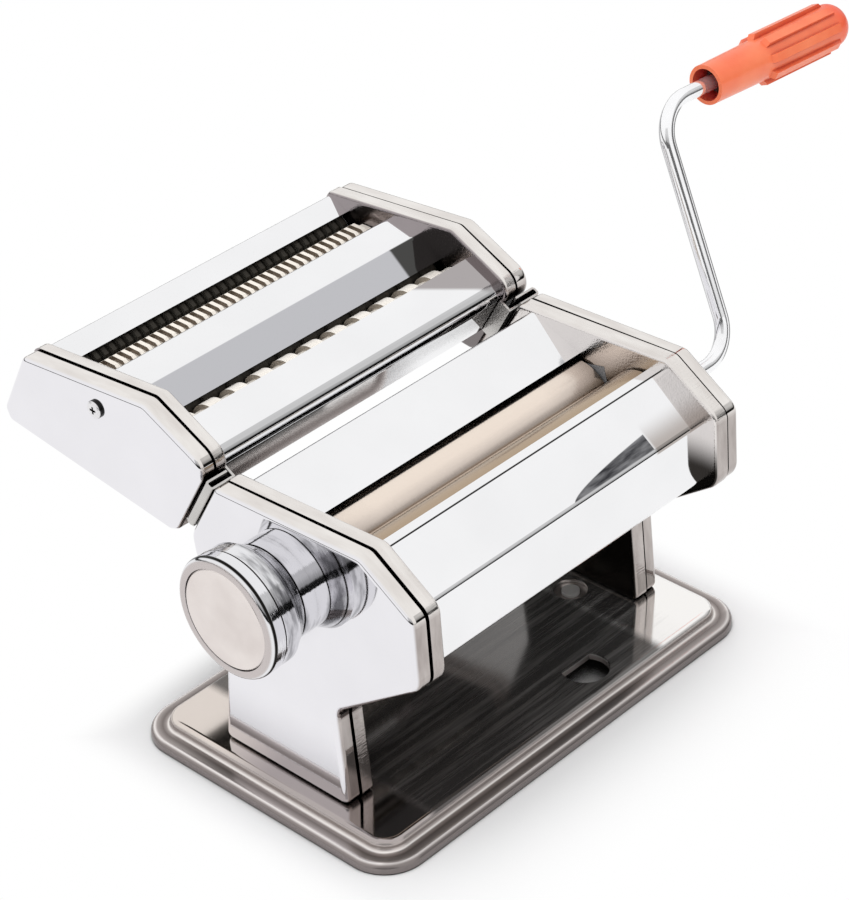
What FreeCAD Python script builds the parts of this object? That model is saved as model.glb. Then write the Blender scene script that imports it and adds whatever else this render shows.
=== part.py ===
import FreeCAD, Part
import math
import os
import Sketcher
from FreeCAD import Placement, Rotation, Vector

# Hand-cranked pasta machine with a lift-off double cutter head, in millimetres.
# X runs along the rollers, with the knob at -X and the crank at +X. -Y is the front, +Z is up.
# The origin is on the table, under the middle of the base tray.

SIZES = {
    # sheet steel, and the two side housings of the machine
    "sheet": 0.9,
    "plate_gap": 152.0,
    "plate_flange": 6.5,
    "plate_proud": 0.5,
    "cover_gap": 1.2,
    "cover_depth": 6.5,
    "fold_radius": 1.6,
    "cover_fold": 2.4,
    # base tray and feet
    "tray_length": 211.3,
    "tray_width": 137.9,
    "tray_height": 9.0,
    "tray_lift": 0.5,
    "tray_rim": 4.0,
    "tray_inset": 8.0,
    "tray_corner": 17.5,
    "rim_round": 2.6,
    "shoulder_round": 2.6,
    "cove_round": 1.7,
    "clamp_x": 30.5,
    "clamp_y": -46.1,
    "clamp_radius": 9.9,
    "clamp_flat": 5.1,
    "clamp_lip": 2.6,
    "seat_x": 66.0,
    "seat_y": -8.0,
    "seat_radius": 7.0,
    "seat_depth": 1.6,
    "foot_radius": 8.0,
    "foot_inset_x": 24.0,
    "foot_inset_y": 22.0,
    # side outline, as corners from the front foot round to the rear foot
    "foot_front_y": -34.0,
    "knee_front_y": -31.0,
    "knee_front_z": 52.0,
    "chin_y": -74.5,
    "chin_z": 83.0,
    "brow_y": -73.5,
    "brow_z": 112.6,
    "roof_front_y": -49.0,
    "roof_front_z": 129.0,
    "roof_rear_y": 24.5,
    "roof_rear_z": 126.5,
    "slant_angle": 30.3,
    "slant_length": 30.7,
    "hip_y": 39.0,
    "hip_z": 92.0,
    "knee_rear_y": 26.0,
    "knee_rear_z": 58.0,
    "foot_rear_y": 31.5,
    "leg_corner": 3.0,
    "knee_round": 8.0,
    "chin_round": 9.0,
    "brow_round": 6.0,
    "roof_round": 5.0,
    "slant_round": 3.0,
    "hip_round": 8.0,
    # smooth rollers, their gears and the eccentric axle
    "roller_radius": 16.0,
    "roller_end_gap": 0.5,
    "roller_rest_gap": 0.5,
    "roller_travel": 2.2,
    "drive_y": -39.4,
    "drive_z": 105.0,
    "roller_tilt": 12.2,
    "journal_radius": 6.0,
    "running_fit": 0.05,
    "gear_teeth": 18,
    "gear_start": 80.6,
    "gear_width": 5.6,
    "gear_backlash": 0.34,
    "gear_addendum": 2.0,
    "gear_dedendum": 2.5,
    "tube_journal": 11.5,
    "lobe_radius": 7.5,
    "lobe_offset": 1.15,
    "lobe_clearance": 1.4,
    "lobe_start": 52.0,
    "lobe_length": 18.0,
    "block_length": 29.0,
    "block_height": 28.0,
    "block_margin": 3.0,
    "block_flange": 2.0,
    "slide_fit": 0.15,
    "bush_wall": 2.0,
    "bush_flange": 2.2,
    "bush_rim": 1.4,
    "socket_reach": 4.0,
    "socket_bore": 3.3,
    "socket_depth": 9.5,
    "hole_clearance": 1.0,
    # knob and index ring
    "dial_radius": 19.8,
    "dial_depth": 6.1,
    "index_circle": 14.0,
    "index_step": 20.0,
    "knob_gap": 0.5,
    "knob_taper": 7.1,
    "knob_band_radius": 24.3,
    "knob_band": 6.2,
    "knob_disc_radius": 24.6,
    "knob_disc": 6.4,
    "knob_groove": 0.8,
    "knob_hollow": 10.0,
    "knob_floor": 4.0,
    "knob_round": 2.5,
    "knob_recess": 1.4,
    "knob_cap_radius": 20.4,
    "knob_cap_sunk": 0.2,
    "knob_cap_fit": 0.1,
    "knob_travel": 4.0,
    "pin_radius": 1.3,
    "pin_engage": 2.6,
    "spring_wire": 1.1,
    "washer_radius": 9.4,
    "washer_thickness": 1.2,
    # tie rods, scrapers and their nuts
    "rod_radius": 3.5,
    "rod_front_y": -60.5,
    "rod_front_z": 96.0,
    "rod_rear_y": 21.5,
    "rod_rear_z": 111.0,
    "rod_low_y": 2.0,
    "rod_low_z": 62.0,
    "nut_flats": 5.6,
    "nut_height": 3.0,
    "scraper_rod_radius": 2.5,
    "scraper_front_y": -55.0,
    "scraper_front_z": 80.0,
    "scraper_rear_y": 10.5,
    "scraper_rear_z": 74.5,
    "scraper_gap": 0.4,
    "scraper_thickness": 1.0,
    "scraper_eye": 4.2,
    "scraper_angle": 30.0,
    # dough guides
    "guide_lip_y": -6.4,
    "guide_lip_z": 116.2,
    "guide_top_y": 18.5,
    "guide_drop": 26.0,
    "apron_lip_y": -41.0,
    "apron_lip_z": 122.6,
    "apron_edge_y": -47.0,
    "apron_edge_z": 123.3,
    "apron_crease_y": -66.5,
    "apron_crease_z": 108.6,
    "apron_foot_y": -67.5,
    "apron_foot_z": 81.0,
    "apron_return": 6.0,
    "guide_round": 3.0,
    # rails on the slanted edge and the tongues of the cutter head
    "rail_sheet": 0.9,
    "rail_slot": 2.2,
    "rail_mouth": 79.0,
    "rail_end": 89.8,
    "rail_fold": 1.5,
    "rail_top": 2.0,
    "rail_length": 25.0,
    "tongue_sheet": 1.0,
    "tongue_fit": 0.3,
    "tongue_end_gap": 1.0,
    "tongue_lap": 1.9,
    "tongue_length": 20.0,
    # details shared by small pieces
    "edge_break": 0.6,
    "cut_margin": 0.5,
    "bush_length": 3.6,
    "pressure_angle": 20.0,
    "foot_screw_x": 80.0,
    "foot_screw_front": -20.0,
    "foot_screw_rear": 18.0,
    "foot_nut": 2.6,
    "foot_taper": 1.0,
    "seat_head": 1.4,
    "rod_end_radius": 2.6,
    "rivet_radius": 1.8,
    "rivet_head": 1.2,
    "scraper_end_gap": 0.3,
    "pin_clearance": 0.2,
    "pin_seat": 3.0,
    "index_notch": 1.9,
    "index_places": 9,
    "washer_gap": 0.5,
    # crank
    "crank_rod": 3.1,
    "crank_insert": 9.0,
    "crank_fit": 0.1,
    "crank_arm_x": 128.8,
    "crank_lean": 21.3,
    "crank_arm": 102.0,
    "crank_bend": 15.0,
    "crank_droop": 2.76,
    "grip_start": 29.0,
    "grip_length": 84.0,
    "grip_mouth": 8.2,
    "grip_belly": 9.3,
    "grip_ribs": 8,
    "rib_radius": 10.6,
    "rib_width": 3.4,
    "rib_start": 30.0,
    "rib_end": 76.0,
    "rib_slope": 2.5,
    "rib_root": 7.0,
    "grip_cavity": 6.6,
    "grip_cavity_depth": 9.0,
    "grip_bore_depth": 70.0,
    "grip_dome": 7.0,
    "grip_washer": 5.6,
    "rod_end_gap": 1.0,
    # cutter head: housings
    "head_flange": 5.6,
    "head_depth": 6.8,
    "head_slant_gap": 5.8,
    "head_top_y": 60.0,
    "head_top_z": 147.5,
    "head_slant_above": 2.8,
    "head_slant_below": 37.4,
    "head_under_y": 52.5,
    "head_under_z": 95.5,
    "head_heel_y": 142.0,
    "head_heel_z": 107.5,
    "head_back_y": 144.4,
    "head_back_z": 113.2,
    "head_rear_y": 129.0,
    "head_rear_z": 141.5,
    "head_round": 3.5,
    "head_nose_round": 8.0,
    "head_crown_round": 5.0,
    "head_screw_y": 87.1,
    "head_screw_z": 135.2,
    "screw_head_radius": 3.7,
    "screw_head_height": 1.8,
    "screw_shank": 2.0,
    "post_radius": 4.5,
    # cutter head: rollers, gears and combs
    "cutter_radius": 9.5,
    "cutter_core": 7.5,
    "cutter_spacing": 17.6,
    "wide_y": 58.0,
    "wide_z": 124.0,
    "narrow_y": 107.2,
    "narrow_z": 126.5,
    "wide_pitch": 13.4,
    "wide_rings": 11,
    "narrow_pitch": 4.2,
    "narrow_rings": 35,
    "ring_side_gap": 0.1,
    "ring_sides": 10,
    "cutter_journal": 5.0,
    "cutter_teeth": 16,
    "cutter_gear_start": 78.0,
    "cutter_gear_width": 4.2,
    "cutter_backlash": 0.16,
    "cutter_addendum": 0.72,
    "cutter_dedendum": 1.1,
    "comb_sheet": 1.0,
    "comb_offset": 1.2,
    "comb_height": 9.0,
    "comb_reach_gap": 0.4,
    "comb_slot_gap": 0.35,
    "comb_tenon": 4.0,
    "comb_tenon_end": 0.6,
    "head_rod_radius": 3.0,
    "head_rod_end": 2.2,
    "screw_grip": 6.0,
    "cutter_bush_rim": 0.9,
    "head_rod_front_y": 54.0,
    "head_rod_front_z": 106.0,
    "head_rod_middle_y": 91.0,
    "head_rod_middle_z": 114.0,
    "head_rod_rear_y": 135.0,
    "head_rod_rear_z": 113.5,
    # cutter head: dough guards
    "nose_front_y": 33.4,
    "nose_front_z": 127.1,
    "nose_crease_y": 37.5,
    "nose_crease_z": 132.5,
    "nose_edge_y": 50.5,
    "nose_edge_z": 139.0,
    "nose_skirt": 22.0,
    "nose_round": 6.0,
    "ridge_lip_y": 98.8,
    "ridge_lip_z": 133.2,
    "ridge_rear_y": 95.0,
    "ridge_rear_z": 141.7,
    "ridge_crease_y": 77.0,
    "ridge_crease_z": 140.3,
    "ridge_edge_y": 67.0,
    "ridge_edge_z": 131.8,
    "tail_edge_y": 118.7,
    "tail_edge_z": 135.8,
    "tail_crease_y": 129.0,
    "tail_crease_z": 141.0,
    "tail_foot_y": 142.5,
    "tail_foot_z": 117.5,
}

doc = FreeCAD.newDocument("pasta_machine")
sheet = doc.addObject("Spreadsheet::Sheet", "Sizes")
subparts = []


class Size:
    """A length or angle that knows its number and the expression that gives it from the sheet."""

    def __init__(self, value, text):
        self.value = value
        self.text = text

    def __add__(self, other):
        other = as_size(other)
        return Size(self.value + other.value, "(%s + %s)" % (self.text, other.text))

    def __sub__(self, other):
        other = as_size(other)
        return Size(self.value - other.value, "(%s - %s)" % (self.text, other.text))

    def __mul__(self, other):
        other = as_size(other)
        return Size(self.value * other.value, "%s * %s" % (self.text, other.text))

    def __truediv__(self, other):
        other = as_size(other)
        return Size(self.value / other.value, "%s / (%s)" % (self.text, other.text))

    def __radd__(self, other):
        return as_size(other) + self

    def __rsub__(self, other):
        return as_size(other) - self

    def __rmul__(self, other):
        return as_size(other) * self

    def __rtruediv__(self, other):
        return as_size(other) / self

    def __neg__(self):
        return as_size(0) - self

    def __float__(self):
        return float(self.value)


def as_size(number):
    return number if isinstance(number, Size) else Size(number, repr(number))


def sine(angle):
    return Size(math.sin(math.radians(angle.value)), "sin(%s)" % angle.text)


def cosine(angle):
    return Size(math.cos(math.radians(angle.value)), "cos(%s)" % angle.text)


def fill_sheet():
    """Write every driving size to the sheet and return them by name."""
    found = {}
    for row, (name, value) in enumerate(SIZES.items(), start=1):
        sheet.set("A%d" % row, name)
        sheet.set("B%d" % row, str(value))
        sheet.setAlias("B%d" % row, name)
        found[name] = Size(value, "Sizes." + name)
    doc.recompute()
    return type("Named", (), found)


S = fill_sheet()


# Sketch and feature helpers

def new_body(label, y=None, z=None, x=None):
    """A body of its own, placed with its local origin at the given point."""
    body = doc.addObject("PartDesign::Body", label)
    body.AllowCompound = True
    doc.recompute()
    for axis, place in (("x", x), ("y", y), ("z", z)):
        if place is not None:
            body.setExpression("Placement.Base." + axis, as_size(place).text)
    return body


def lean(body, angle):
    """Turn a body about X through its own origin."""
    body.Placement = Placement(body.Placement.Base, Rotation(Vector(1, 0, 0), angle.value))
    body.setExpression("Placement.Rotation.Angle", angle.text)


def origin_part(body, role):
    return [part for part in body.Origin.OriginFeatures if part.Role == role][0]


def new_sketch(body, name, role="YZ_Plane", lift=None):
    sketch = body.newObject("Sketcher::SketchObject", name)
    sketch.AttachmentSupport = [(origin_part(body, role), "")]
    sketch.MapMode = "FlatFace"
    if lift is not None:
        sketch.setExpression("AttachmentOffset.Base.z", as_size(lift).text)
    return sketch


def bind(sketch, kind, *place):
    """Add a dimension whose last argument is a Size and bind it to the sheet."""
    size = as_size(place[-1])
    index = sketch.addConstraint(Sketcher.Constraint(kind, *place[:-1], size.value))
    sketch.setExpression("Constraints[%d]" % index, size.text)


def pin(sketch, edge, end, point):
    """Hold one end of an edge at a point given by two sizes."""
    across, up = (as_size(part) for part in point)
    if across.value == 0:
        sketch.addConstraint(Sketcher.Constraint("PointOnObject", edge, end, -2))
    else:
        bind(sketch, "DistanceX", -1, 1, edge, end, across)
    if up.value == 0:
        sketch.addConstraint(Sketcher.Constraint("PointOnObject", edge, end, -1))
    else:
        bind(sketch, "DistanceY", -1, 1, edge, end, up)


def flat(point):
    return Vector(float(point[0]), float(point[1]), 0)


def add_loop(sketch, points):
    """A closed outline of straight edges through the points."""
    first = sketch.GeometryCount
    count = len(points)
    lines = [Part.LineSegment(flat(points[i]), flat(points[(i + 1) % count])) for i in range(count)]
    sketch.addGeometry(lines, False)
    for i in range(count):
        after = first + (i + 1) % count
        sketch.addConstraint(Sketcher.Constraint("Coincident", first + i, 2, after, 1))
    for i, point in enumerate(points):
        pin(sketch, first + i, 1, point)


def add_circle(sketch, radius, centre=(0, 0)):
    circle = Part.Circle(flat(centre), Vector(0, 0, 1), float(radius))
    edge = sketch.addGeometry(circle, False)
    pin(sketch, edge, 3, centre)
    bind(sketch, "Radius", edge, radius)


def loop(body, name, points, role="YZ_Plane", lift=None):
    sketch = new_sketch(body, name, role, lift)
    add_loop(sketch, points)
    return sketch


def circles(body, name, rounds, role="YZ_Plane", lift=None):
    """A sketch of circles, each given as (radius, centre)."""
    sketch = new_sketch(body, name, role, lift)
    for radius, centre in rounds:
        add_circle(sketch, radius, centre)
    return sketch


def pad(body, sketch, length, backwards=False):
    feature = body.newObject("PartDesign::Pad", sketch.Name + "_pad")
    feature.Profile = sketch
    feature.setExpression("Length", as_size(length).text)
    feature.Reversed = backwards
    doc.recompute()
    return feature


def cut_through(body, sketch):
    """Cut a sketch through the whole body, both ways from its plane."""
    before = body.Shape.Volume
    feature = body.newObject("PartDesign::Pocket", sketch.Name + "_cut")
    feature.Profile = sketch
    feature.Type = "ThroughAll"
    feature.Midplane = True
    doc.recompute()
    check_cut(feature, before)
    return feature


def cut_deep(body, sketch, depth, backwards=False):
    before = body.Shape.Volume
    feature = body.newObject("PartDesign::Pocket", sketch.Name + "_cut")
    feature.Profile = sketch
    feature.setExpression("Length", as_size(depth).text)
    feature.Reversed = backwards
    doc.recompute()
    check_cut(feature, before)
    return feature


def check_cut(feature, before):
    if feature.Shape.isNull() or feature.Shape.Volume >= before:
        raise RuntimeError(feature.Name + " cuts nothing")


def spin(body, sketch):
    """Turn a half profile about the body's X axis."""
    feature = body.newObject("PartDesign::Revolution", sketch.Name + "_turned")
    feature.Profile = sketch
    feature.ReferenceAxis = (sketch, ["H_Axis"])
    feature.Angle = 360
    doc.recompute()
    return feature


def blend(body, wanted, radius):
    """Round the edges of the body's last feature that pass the test."""
    base = body.Tip
    names = edge_names(base.Shape, wanted)
    feature = body.newObject("PartDesign::Fillet", "round")
    feature.Base = (base, names)
    feature.setExpression("Radius", as_size(radius).text)
    doc.recompute()
    return feature


def edge_names(shape, wanted):
    return ["Edge%d" % (i + 1) for i, edge in enumerate(shape.Edges) if wanted(edge)]


def near(one, other, slack=0.05):
    return abs(one - other) < slack


def ring_edge(along, radius):
    """A test for the round edge about X with this radius at this place."""
    def test(edge):
        curve = edge.Curve
        if not hasattr(curve, "Radius"):
            return False
        return near(curve.Radius, float(radius)) and near(curve.Center.x, float(along))
    return test


def round_corner(body, point, radius):
    """Round the edge that runs along X through a point of the side outline."""
    y, z = float(point[0]), float(point[1])

    def at_corner(edge):
        ends = [vertex.Point for vertex in edge.Vertexes]
        along = len(ends) == 2 and near(ends[0].y, ends[1].y) and near(ends[0].z, ends[1].z)
        return along and near(ends[0].y, y) and near(ends[0].z, z)

    return blend(body, at_corner, radius)


def at_point(y, z):
    return lambda centre: near(centre.y, y) and near(centre.z, z)


def at_x(x):
    return lambda centre: near(centre.x, x)


def face_at(shape, test):
    """The name of the largest face whose centre passes the test."""
    faces = [(face.Area, i) for i, face in enumerate(shape.Faces) if test(face.CenterOfMass)]
    return "Face%d" % (max(faces)[1] + 1)


def hollow(body, faces, wall):
    """Turn the body into sheet of the given wall, open at the named faces."""
    base = body.Tip
    feature = body.newObject("PartDesign::Thickness", "shell")
    feature.Base = (base, faces)
    feature.setExpression("Value", as_size(wall).text)
    feature.Reversed = True
    feature.Mode = 0
    feature.Join = 0
    doc.recompute()
    return feature


def keep(feature, label=None):
    """Count an object as one of the machine's sub-parts."""
    if label:
        feature.Label = label
    subparts.append(feature)
    return feature


def joined(label, pieces):
    """One sub-part of several identical or paired pieces."""
    group = doc.addObject("Part::Compound", label)
    group.Links = pieces
    doc.recompute()
    return keep(group)


def turned(label, profile, y=None, z=None, x=None):
    """A body turned about X from its half profile of (along, radius) points."""
    body = new_body(label, y, z, x)
    spin(body, loop(body, label + "_profile", profile, "XY_Plane"))
    return body


def bar(label, start, end, radius, y, z):
    """A plain round bar along X."""
    rod = doc.addObject("Part::Cylinder", label)
    rod.Placement = Placement(Vector(), Rotation(Vector(0, 1, 0), 90))
    rod.setExpression("Radius", as_size(radius).text)
    rod.setExpression("Height", (as_size(end) - start).text)
    for axis, place in (("x", start), ("y", y), ("z", z)):
        rod.setExpression("Placement.Base." + axis, as_size(place).text)
    doc.recompute()
    return rod


# Places that several pieces share

def rear_roller_place():
    spacing = 2 * S.roller_radius + S.roller_rest_gap
    return S.drive_y + spacing * cosine(S.roller_tilt), S.drive_z - spacing * sine(S.roller_tilt)


def axle_place():
    spacing = 2 * S.roller_radius + S.roller_rest_gap + S.lobe_offset
    return S.drive_y + spacing * cosine(S.roller_tilt), S.drive_z - spacing * sine(S.roller_tilt)


DRIVE = (S.drive_y, S.drive_z)
REAR = rear_roller_place()
AXLE = axle_place()
WIDE = ((S.wide_y, S.wide_z), (S.wide_y + S.cutter_spacing, S.wide_z))
NARROW = ((S.narrow_y, S.narrow_z), (S.narrow_y + S.cutter_spacing, S.narrow_z))
PLATE_IN = S.plate_gap / 2
PLATE_OUT = PLATE_IN + S.sheet
COVER_OPEN = PLATE_IN + S.plate_flange + S.cover_gap
COVER_FACE = COVER_OPEN + S.cover_depth
HEAD_OPEN = PLATE_IN + S.head_flange + S.cover_gap
HEAD_FACE = HEAD_OPEN + S.head_depth
ROLLER_END = PLATE_IN - S.roller_end_gap
CUTTER_END = S.cutter_gear_start + S.cutter_gear_width + S.edge_break
SHOULDER = (
    S.roof_rear_y + S.slant_length * sine(S.slant_angle),
    S.roof_rear_z - S.slant_length * cosine(S.slant_angle),
)
RODS = (
    (S.rod_front_y, S.rod_front_z),
    (S.rod_rear_y, S.rod_rear_z),
    (S.rod_low_y, S.rod_low_z),
)
SCRAPER_RODS = ((S.scraper_front_y, S.scraper_front_z), (S.scraper_rear_y, S.scraper_rear_z))
HEAD_RODS = (
    (S.head_rod_front_y, S.head_rod_front_z),
    (S.head_rod_middle_y, S.head_rod_middle_z),
    (S.head_rod_rear_y, S.head_rod_rear_z),
)
SIDES = (("left", -1), ("right", 1))


def on_slant(along, away):
    """A point of the side view from its distance down the slant and its distance behind it."""
    along, away = as_size(along), as_size(away)
    return (
        S.roof_rear_y + along * sine(S.slant_angle) + away * cosine(S.slant_angle),
        S.roof_rear_z - along * cosine(S.slant_angle) + away * sine(S.slant_angle),
    )


# Side housings: an inner plate with a folded rim, and a deep outer cover

def side_outline(proud):
    """Corners of the side view with their radii. The inner plate stands a little proud."""
    return (
        (S.foot_front_y - proud, S.tray_height, S.leg_corner),
        (S.knee_front_y - proud, S.knee_front_z, S.knee_round),
        (S.chin_y - proud, S.chin_z, S.chin_round),
        (S.brow_y - proud, S.brow_z + proud, S.brow_round),
        (S.roof_front_y - proud, S.roof_front_z + proud, S.roof_round),
        (S.roof_rear_y + proud, S.roof_rear_z, S.slant_round),
        (SHOULDER[0] + proud, SHOULDER[1], S.hip_round),
        (S.hip_y + proud, S.hip_z, S.hip_round),
        (S.knee_rear_y + proud, S.knee_rear_z, S.knee_round),
        (S.foot_rear_y + proud, S.tray_height, S.leg_corner),
    )


def head_outline(proud):
    """Corners of the cutter head's side view with their radii."""
    slant_top = on_slant(-S.head_slant_above, S.head_slant_gap)
    slant_foot = on_slant(S.head_slant_below, S.head_slant_gap)
    return (
        (S.head_under_y, S.head_under_z, S.head_round),
        (slant_foot[0], slant_foot[1], S.head_round),
        (slant_top[0], slant_top[1], S.head_nose_round),
        (S.head_top_y, S.head_top_z + proud, S.head_crown_round),
        (S.head_rear_y + proud, S.head_rear_z + proud, S.head_crown_round),
        (S.head_back_y + proud, S.head_back_z, S.head_round),
        (S.head_heel_y, S.head_heel_z, S.head_round),
    )


def cup(label, outline, side, start, depth, fold, open_outwards):
    """A pressed side sheet: flat wall, folded rim all round, open on one side."""
    near_x = start if side > 0 else -(start + depth)
    body = new_body(label, x=near_x)
    outer = loop(body, label + "_outline", [corner[:2] for corner in outline])
    pad(body, outer, depth)
    for corner in outline:
        round_corner(body, corner, corner[2])
    far_side = (side > 0) == open_outwards
    closed_x = 0.0 if far_side else float(depth)
    open_x = float(depth) if far_side else 0.0
    blend(body, lambda edge: all(near(end.Point.x, closed_x) for end in edge.Vertexes), fold)
    hollow(body, [face_at(body.Tip.Shape, at_x(open_x))], S.sheet)
    return body


def holes(body, name, rounds):
    """Round holes along X through the body, each given as (radius, centre)."""
    return cut_through(body, circles(body, name, rounds))


def beside_roller(along, across):
    """A point of the side view, measured from the rear roller along its travel and across it."""
    return (
        REAR[0] + along * cosine(S.roller_tilt) + across * sine(S.roller_tilt),
        REAR[1] - along * sine(S.roller_tilt) + across * cosine(S.roller_tilt),
    )


def block_window():
    """Corners of the opening in which a bearing block of the rear roller slides."""
    front = -(S.block_length / 2 + S.slide_fit)
    back = S.block_length / 2 + S.slide_fit + S.roller_travel
    half = S.block_height / 2 + S.slide_fit
    corners = ((front, -half), (back, -half), (back, half), (front, half))
    return [beside_roller(*corner) for corner in corners]


def foot_screw_places():
    return [(S.foot_screw_x, S.foot_screw_front), (S.foot_screw_x, S.foot_screw_rear)]


def inner_plate(label, side):
    body = cup(label, side_outline(S.plate_proud), side, PLATE_IN, S.plate_flange, S.fold_radius, True)
    cut_through(body, loop(body, label + "_window", block_window()))
    bores = [(S.journal_radius + S.bush_wall, DRIVE)]
    bores += [(S.rod_end_radius, place) for place in RODS]
    bores += [(S.rivet_radius, place) for place in SCRAPER_RODS]
    holes(body, label + "_bores", bores)
    rim = PLATE_IN if side > 0 else -(PLATE_IN + S.plate_flange)
    rounds = [(S.screw_shank, (S.foot_screw_x * side - rim, y)) for _, y in foot_screw_places()]
    screw_holes = circles(body, label + "_screws", rounds, "XY_Plane", S.tray_height - S.sheet)
    cut_deep(body, screw_holes, S.sheet * 3, backwards=True)
    return keep(body)


def side_cover(label, side):
    body = cup(label, side_outline(0), side, COVER_OPEN, S.cover_depth, S.cover_fold, False)
    if side > 0:
        holes(body, label + "_bores", [(S.journal_radius + S.hole_clearance, DRIVE)])
    holes(body, label + "_axle", [(S.journal_radius + S.bush_wall, AXLE)])
    return keep(body)


# Base tray, its feet and its screws

def rectangle(length, width):
    half, side = length / 2, width / 2
    return [(-half, -side), (half, -side), (half, side), (-half, side)]


def at_height(height):
    return lambda edge: all(near(end.Point.z, float(height)) for end in edge.Vertexes)


def foot_of_plateau(edge):
    """A test for the edges where the raised middle of the tray meets its rim."""
    box = edge.BoundBox
    inside = max(abs(box.XMin), abs(box.XMax)) < float(S.tray_length / 2 - S.rim_round) - 1
    return near(box.ZMin, S.tray_rim.value) and near(box.ZMax, S.tray_rim.value) and inside


def upright(low):
    def test(edge):
        ends = [end.Point for end in edge.Vertexes]
        vertical = len(ends) == 2 and near(ends[0].x, ends[1].x) and near(ends[0].y, ends[1].y)
        return vertical and min(end.z for end in ends) > float(low) - 0.05
    return test


def clamp_hole(body, name, margin, lift):
    """The D-shaped hole for the table clamp: a round with its rear cut straight."""
    sketch = new_sketch(body, name, "XY_Plane", lift)
    radius, flat_side = S.clamp_radius + margin, S.clamp_flat + margin
    half = math.sqrt(radius.value ** 2 - flat_side.value ** 2)
    start = math.atan2(flat_side.value, -half)
    end = math.atan2(flat_side.value, half) + 2 * math.pi
    centre = Vector(S.clamp_x.value, S.clamp_y.value, 0)
    arc = Part.ArcOfCircle(Part.Circle(centre, Vector(0, 0, 1), radius.value), start, end)
    left = centre + Vector(-half, flat_side.value, 0)
    right = centre + Vector(half, flat_side.value, 0)
    sketch.addGeometry([arc, Part.LineSegment(right, left)], False)
    sketch.addConstraint(Sketcher.Constraint("Coincident", 0, 2, 1, 1))
    sketch.addConstraint(Sketcher.Constraint("Coincident", 1, 2, 0, 1))
    sketch.addConstraint(Sketcher.Constraint("Horizontal", 1))
    pin(sketch, 0, 3, (S.clamp_x, S.clamp_y))
    bind(sketch, "Radius", 0, radius)
    bind(sketch, "DistanceY", -1, 1, 1, 1, S.clamp_y + flat_side)
    return sketch


def base_tray():
    body = new_body("base_tray", z=S.tray_lift)
    top = S.tray_height - S.tray_lift
    pad(body, loop(body, "rim", rectangle(S.tray_length, S.tray_width), "XY_Plane"), S.tray_rim)
    blend(body, upright(0), S.tray_corner)
    blend(body, at_height(S.tray_rim), S.rim_round)
    inner = rectangle(S.tray_length - 2 * S.tray_inset, S.tray_width - 2 * S.tray_inset)
    pad(body, loop(body, "plateau", inner, "XY_Plane", S.tray_rim), top - S.tray_rim)
    blend(body, upright(S.tray_rim), S.tray_corner - S.tray_inset)
    blend(body, at_height(top), S.shoulder_round)
    blend(body, foot_of_plateau, S.cove_round)
    rounds = [(S.seat_radius, (S.seat_x * side, S.seat_y)) for _, side in SIDES]
    cut_deep(body, circles(body, "seats", rounds, "XY_Plane", top), S.seat_depth)
    hollow(body, [face_at(body.Tip.Shape, lambda centre: near(centre.z, 0))], S.sheet)
    pad(body, clamp_hole(body, "lip", S.sheet, top - S.sheet - S.clamp_lip), S.clamp_lip + S.sheet / 2)
    cut_through(body, clamp_hole(body, "clamp_hole", 0, 0))
    screws = [(S.screw_shank, (x * side, y)) for _, side in SIDES for x, y in foot_screw_places()]
    screws += [(S.screw_shank, (S.seat_x * side, S.seat_y)) for _, side in SIDES]
    cut_through(body, circles(body, "screw_holes", screws, "XY_Plane"))
    return keep(body)


def disc(label, radius, low, high, x, y):
    """A plain upright cylinder."""
    piece = doc.addObject("Part::Cylinder", label)
    piece.setExpression("Radius", as_size(radius).text)
    piece.setExpression("Height", (as_size(high) - low).text)
    for axis, place in (("x", x), ("y", y), ("z", low)):
        piece.setExpression("Placement.Base." + axis, as_size(place).text)
    return piece


def hexagon(label, flats, low, high, x, y):
    """An upright hexagon nut blank."""
    piece = doc.addObject("Part::Prism", label)
    piece.Polygon = 6
    piece.setExpression("Circumradius", as_size(flats).text)
    piece.setExpression("Height", (as_size(high) - low).text)
    for axis, place in (("x", x), ("y", y), ("z", low)):
        piece.setExpression("Placement.Base." + axis, as_size(place).text)
    return piece


def fused(label, pieces):
    whole = doc.addObject("Part::MultiFuse", label)
    whole.Shapes = pieces
    doc.recompute()
    return whole


def upright_screw(label, x, y, low, sheet_top):
    """A pan-head screw from below with its nut on top, as one tightened piece."""
    head = disc(label + "_head", S.screw_head_radius, low - S.screw_head_height, low, x, y)
    shank = disc(label + "_shank", S.screw_shank, low - S.sheet, sheet_top + S.nut_height, x, y)
    nut = hexagon(label + "_nut", S.foot_nut, sheet_top, sheet_top + S.nut_height * 0.8, x, y)
    return fused(label, [head, shank, nut])


def leg_screws():
    """The screws that hold the side housings' legs to the tray."""
    pieces = []
    for name, side in SIDES:
        for number, (x, y) in enumerate(foot_screw_places()):
            label = "foot_screw_%s_%d" % (name, number)
            low, top = S.tray_height - S.sheet, S.tray_height + S.sheet
            pieces.append(upright_screw(label, x * side, y, low, top))
    return pieces


def corner_feet():
    """Four rubber feet under the corners of the tray."""
    pieces = []
    under = S.tray_height - S.sheet
    for x_side in (-1, 1):
        for y_side in (-1, 1):
            foot = doc.addObject("Part::Cone", "corner_foot")
            foot.setExpression("Radius1", S.foot_radius.text)
            foot.setExpression("Radius2", (S.foot_radius - S.foot_taper).text)
            foot.setExpression("Height", under.text)
            foot.setExpression("Placement.Base.x", ((S.tray_length / 2 - S.foot_inset_x) * x_side).text)
            foot.setExpression("Placement.Base.y", ((S.tray_width / 2 - S.foot_inset_y) * y_side).text)
            pieces.append(foot)
    return pieces


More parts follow.
